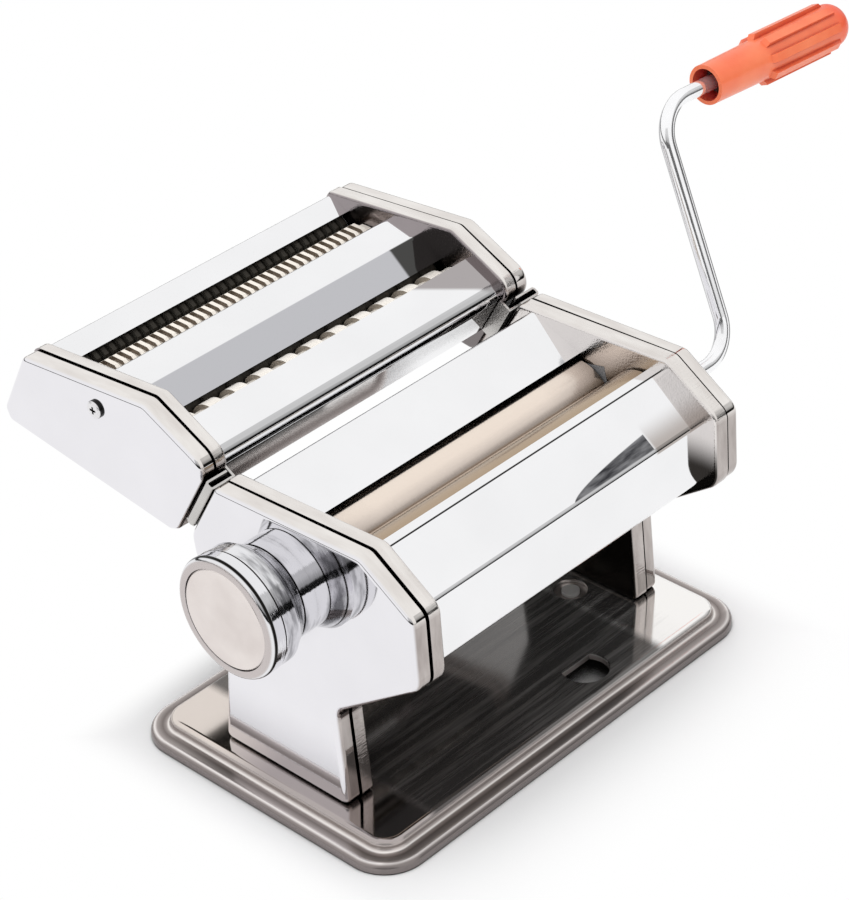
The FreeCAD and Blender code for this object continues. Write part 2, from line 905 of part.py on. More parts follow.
def seat_feet():
    """Two rubber feet under the dished seats, and the screws that hold them."""
    feet, screws = [], []
    floor = S.tray_height - S.seat_depth
    for name, side in SIDES:
        x = S.seat_x * side
        foot = disc("seat_pad_" + name, S.foot_radius, 0, floor - S.sheet, x, S.seat_y)
        bore = disc("seat_bore_" + name, S.screw_shank, S.seat_depth, floor, x, S.seat_y)
        cut = doc.addObject("Part::Cut", "seat_foot_" + name)
        cut.Base = foot
        cut.Tool = bore
        feet.append(cut)
        head = disc("seat_head_" + name, S.screw_head_radius, floor, floor + S.seat_head, x, S.seat_y)
        shank = disc("seat_shank_" + name, S.screw_shank, S.seat_depth, floor, x, S.seat_y)
        screws.append(fused("seat_screw_" + name, [head, shank]))
    return feet, screws


def feet_and_screws():
    feet, screws = seat_feet()
    joined("base_feet", corner_feet() + feet)
    joined("base_screws", leg_screws() + screws)


# Rollers, gears and bearings

def drive_roller():
    half, radius, journal = ROLLER_END, S.roller_radius, S.journal_radius
    left = -(PLATE_OUT + S.bush_length)
    right = COVER_FACE + S.socket_reach
    profile = [
        (left, 0), (left, journal), (-half, journal), (-half, radius - S.edge_break),
        (S.edge_break - half, radius), (half - S.edge_break, radius), (half, radius - S.edge_break),
        (half, journal), (right, journal), (right, S.socket_bore),
        (right - S.socket_depth, S.socket_bore), (right - S.socket_depth, 0),
    ]
    return keep(turned("drive_roller", profile, *DRIVE))


def adjust_roller():
    half, radius, tube = ROLLER_END, S.roller_radius, S.tube_journal
    bore = S.lobe_radius + S.lobe_clearance
    left, right = -(PLATE_OUT + S.block_flange), S.gear_start + S.gear_width
    profile = [
        (left, bore), (left, tube), (-half, tube), (-half, radius - S.edge_break),
        (S.edge_break - half, radius), (half - S.edge_break, radius), (half, radius - S.edge_break),
        (half, tube), (right, tube), (right, bore),
    ]
    return keep(turned("adjust_roller", profile, *REAR))


def bearing_block(label, side):
    """A block that carries one end of the rear roller and slides in its window."""
    x = PLATE_IN if side > 0 else -(PLATE_OUT + S.block_flange + S.slide_fit)
    body = new_body(label, *REAR, x)
    lean(body, -S.roller_tilt)
    thick = S.sheet + S.block_flange + S.slide_fit
    pad(body, loop(body, label + "_body", rectangle(S.block_length, S.block_height)), thick)
    wide = rectangle(S.block_length + 2 * S.block_margin, S.block_height + 2 * S.block_margin)
    lift = S.sheet + S.slide_fit if side > 0 else 0
    pad(body, loop(body, label + "_flange", wide, lift=lift), S.block_flange)
    holes(body, label + "_bore", [(S.tube_journal + S.running_fit, (0, 0))])
    return body


def adjust_axle():
    """Shaft of the knob, with two eccentric lobes inside the hollow rear roller."""
    body = new_body("adjust_axle", *AXLE, -(COVER_FACE + KNOB_WASHER))
    lean(body, -S.roller_tilt)
    total = COVER_FACE + KNOB_WASHER + COVER_FACE - S.sheet
    pad(body, circles(body, "shaft", [(S.journal_radius, (0, 0))]), total)
    for name, start in (("left", -(S.lobe_start + S.lobe_length)), ("right", S.lobe_start)):
        lift = start + COVER_FACE + KNOB_WASHER
        rounds = [(S.lobe_radius, (-S.lobe_offset, 0))]
        pad(body, circles(body, "lobe_" + name, rounds, lift=lift), S.lobe_length)
    return keep(body)


def flanged_bush(label, side, inner, outer, start, y, z):
    """A turned bush: sleeve in the sheet, flange against its outer face, hub beyond."""
    stops = (start, start + S.sheet, start + S.sheet + S.bush_rim, start + S.bush_length)
    rim = outer + S.bush_flange
    profile = [
        (stops[0], inner), (stops[0], outer), (stops[1], outer), (stops[1], rim), (stops[2], rim),
        (stops[2], outer), (stops[3], outer), (stops[3], inner),
    ]
    profile = [(as_size(x) * side, radius) for x, radius in profile]
    return turned(label, profile, y, z)


def drive_bushings():
    inner = S.journal_radius + S.running_fit
    outer = S.journal_radius + S.bush_wall
    return joined("drive_bushings", [
        flanged_bush("drive_bush_" + name, side, inner, outer, PLATE_IN, *DRIVE) for name, side in SIDES
    ])


def axle_bushings():
    """Bushes in the covers, flange inside."""
    inner = S.journal_radius + S.running_fit
    outer = S.journal_radius + S.bush_wall
    face, back = COVER_FACE, COVER_FACE - S.sheet
    rim = outer + S.bush_flange
    pieces = []
    for name, side in SIDES:
        profile = [(face, inner), (face, outer), (back, outer), (back, rim)]
        profile += [(back - S.bush_rim, rim), (back - S.bush_rim, inner)]
        profile = [(x * side, radius) for x, radius in profile]
        pieces.append(turned("axle_bush_" + name, profile, *AXLE))
    return joined("axle_bushings", pieces)


def involute(angle):
    return math.tan(angle) - angle


def gap_half_angle(radius, pitch_radius, teeth, backlash, pressure):
    """Half the angle between two teeth at a radius, from the involute of the base circle."""
    base = pitch_radius * math.cos(pressure)
    here = math.acos(base / max(radius, base))
    at_pitch = math.pi / (2 * teeth) + backlash / (4 * pitch_radius)
    return at_pitch + involute(here) - involute(pressure)


def gear(label, teeth, spacing, depths, backlash, bore, start, width, place, turn):
    """A spur gear: a disc with one gap between teeth cut out and repeated round it."""
    pitch = spacing / 2
    tip = pitch + depths[0]
    body = new_body(label, place[0], place[1], start)
    lean(body, turn)
    pad(body, circles(body, label + "_blank", [(tip, (0, 0)), (bore, (0, 0))]), width)
    gap = new_sketch(body, label + "_gap")
    low, high = pitch.value - depths[1].value, tip.value + S.cut_margin.value
    pressure = math.radians(S.pressure_angle.value)
    flank = []
    for radius in (low, pitch.value, high):
        half = gap_half_angle(radius, pitch.value, teeth.value, backlash.value, pressure)
        flank.append((radius * math.cos(half), radius * math.sin(half)))
    upper = [Vector(y, z, 0) for y, z in flank]
    lower = [Vector(y, -z, 0) for y, z in flank]
    gap.addGeometry([
        Part.LineSegment(lower[0], upper[0]), Part.Arc(*upper),
        Part.LineSegment(upper[2], lower[2]), Part.Arc(lower[2], lower[1], lower[0]),
    ], False)
    doc.recompute()
    cut = cut_through(body, gap)
    pattern = body.newObject("PartDesign::PolarPattern", label + "_teeth")
    pattern.Originals = [cut]
    pattern.Axis = (origin_part(body, "X_Axis"), [""])
    pattern.Angle = 360
    pattern.setExpression("Occurrences", teeth.text)
    body.Tip = pattern
    doc.recompute()
    return keep(body)


def roller_gears():
    spacing = 2 * S.roller_radius + S.roller_rest_gap
    depths = (S.gear_addendum, S.gear_dedendum)
    half_tooth = 180 / S.gear_teeth
    common = (S.gear_teeth, spacing, depths, S.gear_backlash)
    span = (S.gear_start, S.gear_width)
    gear("drive_gear", *common, S.journal_radius, *span, DRIVE, half_tooth - S.roller_tilt)
    gear("adjust_gear", *common, S.tube_journal, *span, REAR, -S.roller_tilt)


# Thickness knob

def outwards(distance):
    """A place along X on the knob side, from its distance outside the cover."""
    return -(COVER_FACE + distance)


KNOB_BACK = S.dial_depth + S.knob_gap
KNOB_BAND = KNOB_BACK + S.knob_taper
KNOB_RING = KNOB_BAND + S.knob_band
KNOB_DISC = KNOB_RING + S.knob_groove
KNOB_FACE = KNOB_DISC + S.knob_disc
KNOB_FLOOR = KNOB_FACE - S.knob_recess
KNOB_WASHER = KNOB_FLOOR - S.washer_gap - S.washer_thickness


def index_ring():
    """Dial fixed to the cover, with a track and nine notches for the knob's pin."""
    body = new_body("index_ring", *AXLE, outwards(S.dial_depth))
    lean(body, -S.roller_tilt)
    bore = S.journal_radius + S.hole_clearance
    pad(body, circles(body, "dial", [(S.dial_radius, (0, 0)), (bore, (0, 0))]), S.dial_depth)
    wide = S.pin_radius + S.pin_clearance
    track = [(S.index_circle + wide, (0, 0)), (S.index_circle - wide, (0, 0))]
    cut_deep(body, circles(body, "track", track), S.pin_engage + S.pin_clearance, backwards=True)
    notch = circles(body, "notch", [(S.index_notch, (S.index_circle + wide, 0))])
    cut = cut_deep(body, notch, S.pin_engage + S.pin_clearance, backwards=True)
    pattern = body.newObject("PartDesign::PolarPattern", "notches")
    pattern.Originals = [cut]
    pattern.Axis = (origin_part(body, "X_Axis"), [""])
    pattern.setExpression("Angle", (S.index_step * (S.index_places - 1)).text)
    pattern.setExpression("Occurrences", S.index_places.text)
    body.Tip = pattern
    doc.recompute()
    return keep(body)


def along_knob(profile):
    return [(outwards(distance), radius) for distance, radius in profile]


def knob():
    """Turned knob: a taper, a band, a groove and a disc whose face is recessed for the cap."""
    bore, groove = S.journal_radius + S.running_fit, S.knob_band_radius - S.knob_groove
    floor, recess = KNOB_BACK + S.knob_floor, S.knob_cap_radius + S.knob_cap_fit
    profile = [
        (KNOB_BACK, bore), (KNOB_BACK, S.dial_radius), (KNOB_BAND, S.knob_band_radius),
        (KNOB_RING, S.knob_band_radius), (KNOB_RING, groove), (KNOB_DISC, groove),
        (KNOB_DISC, S.knob_disc_radius), (KNOB_FACE, S.knob_disc_radius), (KNOB_FACE, recess),
        (KNOB_FLOOR, recess), (KNOB_FLOOR, S.knob_hollow), (floor, S.knob_hollow), (floor, bore),
    ]
    body = turned("knob_body", along_knob(profile), *AXLE)
    blend(body, ring_edge(outwards(KNOB_FACE), S.knob_disc_radius), S.knob_round)
    lean(body, -S.roller_tilt)
    pin_hole = circles(body, "pin_hole", [(S.pin_radius, (S.index_circle, 0))], lift=outwards(KNOB_BACK))
    cut_deep(body, pin_hole, S.pin_seat)
    keep(body)
    front = KNOB_FACE - S.knob_cap_sunk
    cap = [
        (KNOB_FLOOR, 0), (KNOB_FLOOR, S.knob_cap_radius), (front - S.edge_break, S.knob_cap_radius),
        (front, S.knob_cap_radius - S.edge_break), (front, 0),
    ]
    keep(turned("knob_cap", along_knob(cap), *AXLE))


def knob_fittings():
    washer_face = KNOB_WASHER + S.washer_thickness
    washer = [
        (KNOB_WASHER, 0), (KNOB_WASHER, S.washer_radius), (washer_face, S.washer_radius), (washer_face, 0),
    ]
    keep(turned("knob_washer", along_knob(washer), *AXLE))
    inner = S.journal_radius + S.pin_clearance
    outer = inner + 2 * S.spring_wire
    back = KNOB_WASHER - S.pin_clearance
    front = KNOB_BACK + S.knob_floor + S.knob_travel + S.pin_clearance
    sleeve = [(front, inner), (front, outer), (back, outer), (back, inner)]
    keep(turned("knob_spring", along_knob(sleeve), *AXLE))
    y = AXLE[0] + S.index_circle * cosine(S.roller_tilt)
    z = AXLE[1] - S.index_circle * sine(S.roller_tilt)
    start, stop = outwards(KNOB_BACK + S.pin_seat), outwards(S.dial_depth - S.pin_engage)
    keep(bar("knob_pin", start, stop, S.pin_radius, y, z))


# Rods, nuts and scrapers

def stepped_rod(label, radius, end_radius, reach, y, z):
    """A rod whose shoulders bear on the inner plates and whose ends go on outwards."""
    profile = [(-reach, 0), (-reach, end_radius), (-PLATE_IN, end_radius), (-PLATE_IN, radius)]
    profile += [(PLATE_IN, radius), (PLATE_IN, end_radius), (reach, end_radius), (reach, 0)]
    return turned(label, profile, y, z)


def nut(label, side, start, bore, y, z):
    """A hexagon nut on a rod, against the outer face of an inner plate."""
    body = new_body(label, y, z, start if side > 0 else -(start + S.nut_height))
    sketch = new_sketch(body, label + "_outline")
    add_polygon(sketch, S.nut_flats, 6)
    add_circle(sketch, bore)
    pad(body, sketch, S.nut_height)
    return body


def add_polygon(sketch, radius, sides):
    """A regular outline whose corners lie on a circle."""
    first = sketch.GeometryCount
    turn, reach = 2 * math.pi / sides, float(radius)
    corners = [(reach * math.cos(turn * i), reach * math.sin(turn * i)) for i in range(sides)]
    lines = [Part.LineSegment(flat(corners[i]), flat(corners[(i + 1) % sides])) for i in range(sides)]
    sketch.addGeometry(lines, False)
    circle = sketch.addGeometry(Part.Circle(Vector(), Vector(0, 0, 1), float(radius)), True)
    for i in range(sides):
        sketch.addConstraint(Sketcher.Constraint("Coincident", first + i, 2, first + (i + 1) % sides, 1))
        sketch.addConstraint(Sketcher.Constraint("PointOnObject", first + i, 1, circle))
    for i in range(1, sides):
        sketch.addConstraint(Sketcher.Constraint("Equal", first, first + i))
    sketch.addConstraint(Sketcher.Constraint("Coincident", circle, 3, -1, 1))
    sketch.addConstraint(Sketcher.Constraint("PointOnObject", first, 1, -1))
    bind(sketch, "Radius", circle, radius)


def tie_rods(label, places, radius, end_radius, reach):
    rods = [
        stepped_rod("%s_%d" % (label, number), radius, end_radius, reach, *place)
        for number, place in enumerate(places)
    ]
    joined(label, rods)
    nuts = [
        nut("%s_nut_%s_%d" % (label, name, number), side, PLATE_OUT, end_radius, *place)
        for name, side in SIDES for number, place in enumerate(places)
    ]
    joined(label + "_nuts", nuts)


def scraper_rods():
    rods = []
    for number, (y, z) in enumerate(SCRAPER_RODS):
        reach, thin, head = PLATE_OUT, S.rivet_radius, S.scraper_rod_radius
        end = reach + S.rivet_head
        half = [(end, 0), (end, thin), (reach, head), (reach, thin), (PLATE_IN, thin), (PLATE_IN, head)]
        other_half = [(-x, radius) for x, radius in reversed(half)]
        rods.append(turned("scraper_rod_%d" % number, half + other_half, y, z))
    joined("scraper_rods", rods)


def scraper(label, rod, tip, side):
    """A blade that hangs by its eye on a rod and reaches up to just below a roller."""
    length = 2 * (PLATE_IN - S.scraper_end_gap)
    body = new_body(label, x=-(PLATE_IN - S.scraper_end_gap))
    half_y = S.scraper_thickness / 2 * cosine(S.scraper_angle)
    half_z = S.scraper_thickness / 2 * sine(S.scraper_angle) * side
    blade = [
        (rod[0] - half_y, rod[1] - half_z), (rod[0] + half_y, rod[1] + half_z),
        (tip[0] + half_y, tip[1] + half_z), (tip[0] - half_y, tip[1] - half_z),
    ]
    pad(body, circles(body, label + "_eye", [(S.scraper_eye, rod)]), length)
    pad(body, loop(body, label + "_blade", blade), length)
    holes(body, label + "_bore", [(S.scraper_rod_radius + S.running_fit, rod)])
    return keep(body)


def scrapers():
    reach = S.roller_radius + S.scraper_gap
    lean_in, drop = reach * sine(S.scraper_angle), reach * cosine(S.scraper_angle)
    scraper("front_scraper", SCRAPER_RODS[0], (DRIVE[0] - lean_in, DRIVE[1] - drop), -1)
    away = (
        REAR[0] + S.roller_travel * cosine(S.roller_tilt),
        REAR[1] - S.roller_travel * sine(S.roller_tilt),
    )
    scraper("rear_scraper", SCRAPER_RODS[1], (away[0] + lean_in, away[1] - drop), 1)


# Folded sheets between the inner plates

def folded_sheet(label, points, kept, bend):
    """Sheet bent along the first edges of a closed outline and open along the others."""
    body = new_body(label, x=-PLATE_IN)
    pad(body, loop(body, label + "_outline", points), S.plate_gap)
    for point in points[1:kept]:
        round_corner(body, point, bend)
    opened = []
    for i in range(kept, len(points)):
        one, other = flat(points[i]), flat(points[(i + 1) % len(points)])
        middle = (one + other) / 2
        opened.append(face_at(body.Tip.Shape, at_point(middle.x, middle.y)))
    for end in (0.0, S.plate_gap.value):
        opened.append(face_at(body.Tip.Shape, at_x(end)))
    hollow(body, opened, S.sheet)
    return keep(body)


def rear_guide():
    top = (S.guide_top_y, S.roof_rear_z)
    foot = (
        top[0] + S.guide_drop * sine(S.slant_angle),
        top[1] - S.guide_drop * cosine(S.slant_angle),
    )
    return folded_sheet("rear_guide", [(S.guide_lip_y, S.guide_lip_z), top, foot], 2, S.guide_round)


def front_guide():
    points = [
        (S.apron_lip_y, S.apron_lip_z), (S.apron_edge_y, S.apron_edge_z),
        (S.apron_crease_y, S.apron_crease_z), (S.apron_foot_y, S.apron_foot_z),
        (S.apron_foot_y + S.apron_return, S.apron_foot_z),
    ]
    return folded_sheet("front_guide", points, 4, S.guide_round)


def nose_guard():
    foot = (
        S.nose_front_y + S.nose_skirt * sine(S.slant_angle),
        S.nose_front_z - S.nose_skirt * cosine(S.slant_angle),
    )
    points = [
        (S.nose_edge_y, S.nose_edge_z), (S.nose_crease_y, S.nose_crease_z),
        (S.nose_front_y, S.nose_front_z), foot,
    ]
    return folded_sheet("head_front_guard", points, 3, S.nose_round)


def ridge():
    points = [
        (S.ridge_lip_y, S.ridge_lip_z), (S.ridge_rear_y, S.ridge_rear_z),
        (S.ridge_crease_y, S.ridge_crease_z), (S.ridge_edge_y, S.ridge_edge_z),
    ]
    return folded_sheet("head_middle_ridge", points, 3, S.guide_round)


def tail_guard():
    points = [
        (S.tail_edge_y, S.tail_edge_z), (S.tail_crease_y, S.tail_crease_z),
        (S.tail_foot_y, S.tail_foot_z),
    ]
    return folded_sheet("head_rear_guard", points, 2, S.guide_round)


# Rails on the machine and tongues on the cutter head

RAIL_FOOT = S.plate_proud * cosine(S.slant_angle)


def slant_body(label):
    """A body whose Y points away from the slanted edge and whose Z points up along it."""
    body = new_body(label, S.roof_rear_y, S.roof_rear_z)
    lean(body, S.slant_angle)
    return body


def mirrored(points, side):
    return [(as_size(x) * side, y) for x, y in points]


def along_fold(x):
    """A test for the edges of a rail's bend, which run along the slant at this X."""
    return lambda edge: near(edge.BoundBox.XMin, x.value) and near(edge.BoundBox.XMax, x.value) \
        and edge.BoundBox.ZLength > S.rail_length.value / 2


def rail(label, side):
    body = slant_body(label)
    low, high = RAIL_FOOT, RAIL_FOOT + 2 * S.rail_sheet + S.rail_slot
    mouth, end = S.rail_mouth, S.rail_end
    channel = [
        (mouth, low), (end, low), (end, high), (mouth, high),
        (mouth, high - S.rail_sheet), (end - S.rail_sheet, high - S.rail_sheet),
        (end - S.rail_sheet, low + S.rail_sheet), (mouth, low + S.rail_sheet),
    ]
    foot = -(S.rail_top + S.rail_length)
    pad(body, loop(body, label + "_channel", mirrored(channel, side), "XY_Plane", foot), S.rail_length)
    blend(body, along_fold(end * side), S.rail_fold)
    blend(body, along_fold((end - S.rail_sheet) * side), S.rail_fold - S.rail_sheet)
    wall = end - S.rail_sheet / 2
    stop = [(mouth, low), (wall, low), (wall, high), (mouth, high)]
    pad(body, loop(body, label + "_stop", mirrored(stop, side), "XY_Plane", foot), S.rail_sheet)
    return keep(body)


def tongue(label, side):
    body = slant_body(label)
    low = RAIL_FOOT + S.rail_sheet + S.tongue_fit
    high = S.head_slant_gap + S.tongue_lap
    inner = PLATE_IN - S.tongue_sheet
    end = S.rail_end - S.rail_sheet - S.tongue_end_gap
    angle = [
        (inner, low), (end, low), (end, low + S.tongue_sheet),
        (PLATE_IN, low + S.tongue_sheet), (PLATE_IN, high), (inner, high),
    ]
    foot = -(S.rail_top + S.rail_length - S.rail_sheet - S.tongue_fit)
    pad(body, loop(body, label + "_angle", mirrored(angle, side), "XY_Plane", foot), S.tongue_length)
    return body


# Crank and grip

def tangent(angle):
    return Size(math.tan(math.radians(angle.value)), "tan(%s)" % angle.text)


CRANK_START = COVER_FACE + S.socket_reach - S.crank_insert
CRANK_CORNER_X = S.crank_arm_x - CRANK_START


def crank_path(body):
    """Centre line of the crank: along the axis, up the arm, and out along the grip."""
    bend, droop = S.crank_bend, S.crank_droop
    cut_back = bend * tangent((90 + droop) / 2)
    reach = S.grip_start + S.grip_bore_depth - S.rod_end_gap
    corner = (CRANK_CORNER_X, S.crank_arm)
    places = [
        (0, 0), (corner[0] - bend, 0),
        (corner[0], bend), (corner[0], corner[1] - cut_back),
        (corner[0] + cut_back * cosine(droop), corner[1] - cut_back * sine(droop)),
        (corner[0] + reach * cosine(droop), corner[1] - reach * sine(droop)),
    ]
    spots = [flat(place) for place in places]
    root = math.sqrt(0.5) * bend.value
    low_middle = Vector(corner[0].value - bend.value + root, bend.value - root, 0)
    centre = spots[3] + Vector(bend.value, 0, 0)
    half_turn = math.radians(180 - (90 + droop.value) / 2)
    high_middle = centre + Vector(math.cos(half_turn), math.sin(half_turn), 0) * bend.value
    sketch = new_sketch(body, "crank_line", "XZ_Plane")
    sketch.addGeometry([
        Part.LineSegment(spots[0], spots[1]), Part.Arc(spots[1], low_middle, spots[2]),
        Part.LineSegment(spots[2], spots[3]), Part.Arc(spots[3], high_middle, spots[4]),
        Part.LineSegment(spots[4], spots[5]),
    ], False)
    for line in (0, 2, 4):
        pin(sketch, line, 1, places[line])
        pin(sketch, line, 2, places[line + 1])
    return sketch


def crank():
    body = new_body("crank_rod", *DRIVE, CRANK_START)
    lean(body, -S.crank_lean)
    path = crank_path(body)
    section = circles(body, "crank_section", [(S.crank_rod, (0, 0))])
    doc.recompute()
    pipe = body.newObject("PartDesign::AdditivePipe", "crank_pipe")
    pipe.Profile = section
    pipe.Spine = path
    doc.recompute()
    return keep(body)


def grip_place(distance):
    """Placement on the grip's axis, so far past the upper corner of the crank."""
    along = S.crank_arm - distance * sine(S.crank_droop)
    lean_angle, droop = S.crank_lean, S.crank_droop
    base = Vector(
        float(S.crank_arm_x + distance * cosine(droop)),
        float(S.drive_y + along * sine(lean_angle)),
        float(S.drive_z + along * cosine(lean_angle)),
    )
    turn = Rotation(Vector(1, 0, 0), -lean_angle.value).multiply(Rotation(Vector(0, 1, 0), droop.value))
    return Placement(base, turn)


def rib_outline():
    """Side view of one lengthwise rib, rooted in the grip's wall."""
    start, end, top = S.rib_start, S.rib_end, S.rib_radius
    return [(start, S.rib_root), (start + S.rib_slope, top), (end - S.rib_slope, top), (end, S.rib_root)]


def grip():
    bore, cavity = S.crank_rod + S.crank_fit, S.grip_cavity
    profile = [
        (0, cavity), (0, S.grip_mouth), (S.grip_length, S.grip_belly), (S.grip_length, 0),
        (S.grip_bore_depth, 0), (S.grip_bore_depth, bore), (S.grip_cavity_depth, bore),
        (S.grip_cavity_depth, cavity),
    ]
    body = turned("grip", profile)
    blend(body, ring_edge(S.grip_length, S.grip_belly), S.grip_dome)
    outline = loop(body, "rib_outline", rib_outline(), "XZ_Plane", -S.rib_width / 2)
    rib = pad(body, outline, S.rib_width)
    pattern = body.newObject("PartDesign::PolarPattern", "grip_ribs")
    pattern.Originals = [rib]
    pattern.Axis = (origin_part(body, "X_Axis"), [""])
    pattern.Angle = 360
    pattern.setExpression("Occurrences", S.grip_ribs.text)
    body.Tip = pattern
    doc.recompute()
    body.Placement = grip_place(S.grip_start)
    keep(body)


def grip_washer():
    stop = S.grip_cavity_depth - S.tongue_fit
    back = stop - S.washer_thickness
    ring = [(back, S.crank_rod), (back, S.grip_washer), (stop, S.grip_washer), (stop, S.crank_rod)]
    washer = turned("grip_washer", ring)
    washer.Placement = grip_place(S.grip_start)
    keep(washer)


# Cutter head

def cutter_pairs():
    """Each pair: name, front and rear roller places, pitch, ring count and ring sides."""
    return (
        ("wide", WIDE, S.wide_pitch, S.wide_rings, 0),
        ("narrow", NARROW, S.narrow_pitch, S.narrow_rings, int(S.ring_sides.value)),
    )


def add_round(sketch, radius, sides):
    if sides:
        add_polygon(sketch, radius, sides)
    else:
        add_circle(sketch, radius)


def ring_start(pitch, rings, rear):
    """Where the first ring begins: the rear roller's rings stand in the front one's grooves."""
    start = S.ring_side_gap - pitch * rings / 2
    return start + pitch / 2 if rear else start


def cutter_roller(label, place, pitch, rings, sides, rear):
    half = ROLLER_END
    left = -(PLATE_OUT + S.bush_length)
    right = CUTTER_END
    body = new_body(label, *place)
    core = new_sketch(body, label + "_core", lift=-half)
    add_round(core, S.cutter_core, sides)
    pad(body, core, 2 * half)
    ring = new_sketch(body, label + "_ring", lift=ring_start(pitch, rings, rear))
    add_round(ring, S.cutter_radius, sides)
    first = pad(body, ring, pitch / 2 - 2 * S.ring_side_gap)
    pattern = body.newObject("PartDesign::LinearPattern", label + "_rings")
    pattern.Originals = [first]
    pattern.Direction = (origin_part(body, "X_Axis"), [""])
    pattern.setExpression("Length", (pitch * (rings - 1)).text)
    pattern.setExpression("Occurrences", rings.text)
    body.Tip = pattern
    doc.recompute()
    journal = [(S.cutter_journal, (0, 0))]
    pad(body, circles(body, label + "_left_end", journal, lift=left), -half - left)
    pad(body, circles(body, label + "_right_end", journal, lift=half), right - half)
    return keep(body)


def crank_socket(label, place):
    """A sleeve on the end of a driven cutter roller that takes the crank."""
    end, journal, bore = HEAD_FACE + S.socket_reach, S.cutter_journal, S.socket_bore
    profile = [
        (CUTTER_END, 0), (CUTTER_END, journal), (end, journal), (end, bore),
        (end - S.socket_depth, bore), (end - S.socket_depth, 0),
    ]
    return keep(turned(label, profile, *place))


def comb(label, place, pitch, rings, rear):
    """A sheet under a cutter roller, slotted for its rings, that lifts the strips off."""
    side = -1 if rear else 1
    near_y = place[0] + S.comb_offset * side - (S.comb_sheet if rear else 0)
    body = new_body(label, near_y, place[1])
    top = -(S.cutter_core + S.comb_reach_gap)
    low = top - S.comb_height
    tenon_low, tenon_top = low + S.comb_tenon / 2, low + S.comb_tenon * 1.5
    half, reach = PLATE_IN, PLATE_OUT + S.comb_tenon_end
    outline = [
        (-half, low), (half, low), (half, tenon_low), (reach, tenon_low), (reach, tenon_top),
        (half, tenon_top), (half, top), (-half, top), (-half, tenon_top), (-reach, tenon_top),
        (-reach, tenon_low), (-half, tenon_low),
    ]
    pad(body, loop(body, label + "_sheet", outline, "XZ_Plane"), S.comb_sheet, backwards=True)
    left = ring_start(pitch, rings, rear) - S.comb_slot_gap
    right = left + pitch / 2 - 2 * S.ring_side_gap + 2 * S.comb_slot_gap
    floor = -(S.cutter_radius + S.comb_reach_gap)
    slot = [(left, floor), (right, floor), (right, top + S.cut_margin), (left, top + S.cut_margin)]
    first = cut_through(body, loop(body, label + "_slot", slot, "XZ_Plane"))
    pattern = body.newObject("PartDesign::LinearPattern", label + "_slots")
    pattern.Originals = [first]
    pattern.Direction = (origin_part(body, "X_Axis"), [""])
    pattern.setExpression("Length", (pitch * (rings - 1)).text)
    pattern.setExpression("Occurrences", rings.text)
    body.Tip = pattern
    doc.recompute()
    return keep(body)


def comb_slot(place, rear):
    """Corners of the hole in an inner plate that takes a comb's tenon."""
    side = -1 if rear else 1
    near_y = place[0] + S.comb_offset * side - (S.comb_sheet if rear else 0) - S.slide_fit
    far_y = near_y + S.comb_sheet + 2 * S.slide_fit
    low = place[1] - (S.cutter_core + S.comb_reach_gap) - S.comb_height
    bottom, top = low + S.comb_tenon / 2 - S.slide_fit, low + S.comb_tenon * 1.5 + S.slide_fit
    return [(near_y, bottom), (far_y, bottom), (far_y, top), (near_y, top)]


def head_plate(label, side):
    body = cup(label, head_outline(S.plate_proud), side, PLATE_IN, S.head_flange, S.fold_radius, True)
    places = [place for _, pair, _, _, _ in cutter_pairs() for place in pair]
    bores = [(S.cutter_journal + S.bush_wall, place) for place in places]
    bores += [(S.head_rod_end, place) for place in HEAD_RODS]
    holes(body, label + "_bores", bores)
    sketch = new_sketch(body, label + "_comb_slots")
    for _, pair, _, _, _ in cutter_pairs():
        for rear, place in enumerate(pair):
            add_loop(sketch, comb_slot(place, rear))
    cut_through(body, sketch)
    return keep(body)


def head_cover(label, side):
    body = cup(label, head_outline(0), side, HEAD_OPEN, S.head_depth, S.cover_fold, False)
    bores = [(S.screw_shank, (S.head_screw_y, S.head_screw_z))]
    if side > 0:
        bores += [(S.cutter_journal + S.hole_clearance, pair[0]) for pair in (WIDE, NARROW)]
    holes(body, label + "_bores", bores)
    return keep(body)


def head_fixings():
    posts, screws = [], []
    start, end = PLATE_OUT, HEAD_FACE - S.sheet
    for name, side in SIDES:
        post = [(start, S.screw_shank), (start, S.post_radius), (end, S.post_radius), (end, S.screw_shank)]
        posts.append(turned("post_" + name, mirrored(post, side), S.head_screw_y, S.head_screw_z))
        head = HEAD_FACE + S.screw_head_height
        screw = [
            (end - S.screw_grip, 0), (end - S.screw_grip, S.screw_shank), (HEAD_FACE, S.screw_shank),
            (HEAD_FACE, S.screw_head_radius), (head - S.screw_head_height / 2, S.screw_head_radius),
            (head, S.screw_head_radius / 2), (head, 0),
        ]
        screws.append(turned("screw_" + name, mirrored(screw, side), S.head_screw_y, S.head_screw_z))
    joined("head_posts", posts)
    joined("head_screws", screws)


def cutter_bushings():
    inner, outer = S.cutter_journal + S.running_fit, S.cutter_journal + S.bush_wall
    pieces = []
    for name, side in SIDES:
        stops = (PLATE_IN, PLATE_OUT, PLATE_OUT + S.cutter_bush_rim)
        rim = outer + S.cutter_bush_rim
        for pair_name, pair, _, _, _ in cutter_pairs():
            for number, place in enumerate(pair):
                profile = [(stops[0], inner), (stops[0], outer), (stops[1], outer), (stops[1], rim)]
                profile += [(stops[2], rim), (stops[2], inner)]
                label = "bush_%s_%s_%d" % (pair_name, name, number)
                pieces.append(turned(label, mirrored(profile, side), *place))
    return joined("cutter_bushings", pieces)


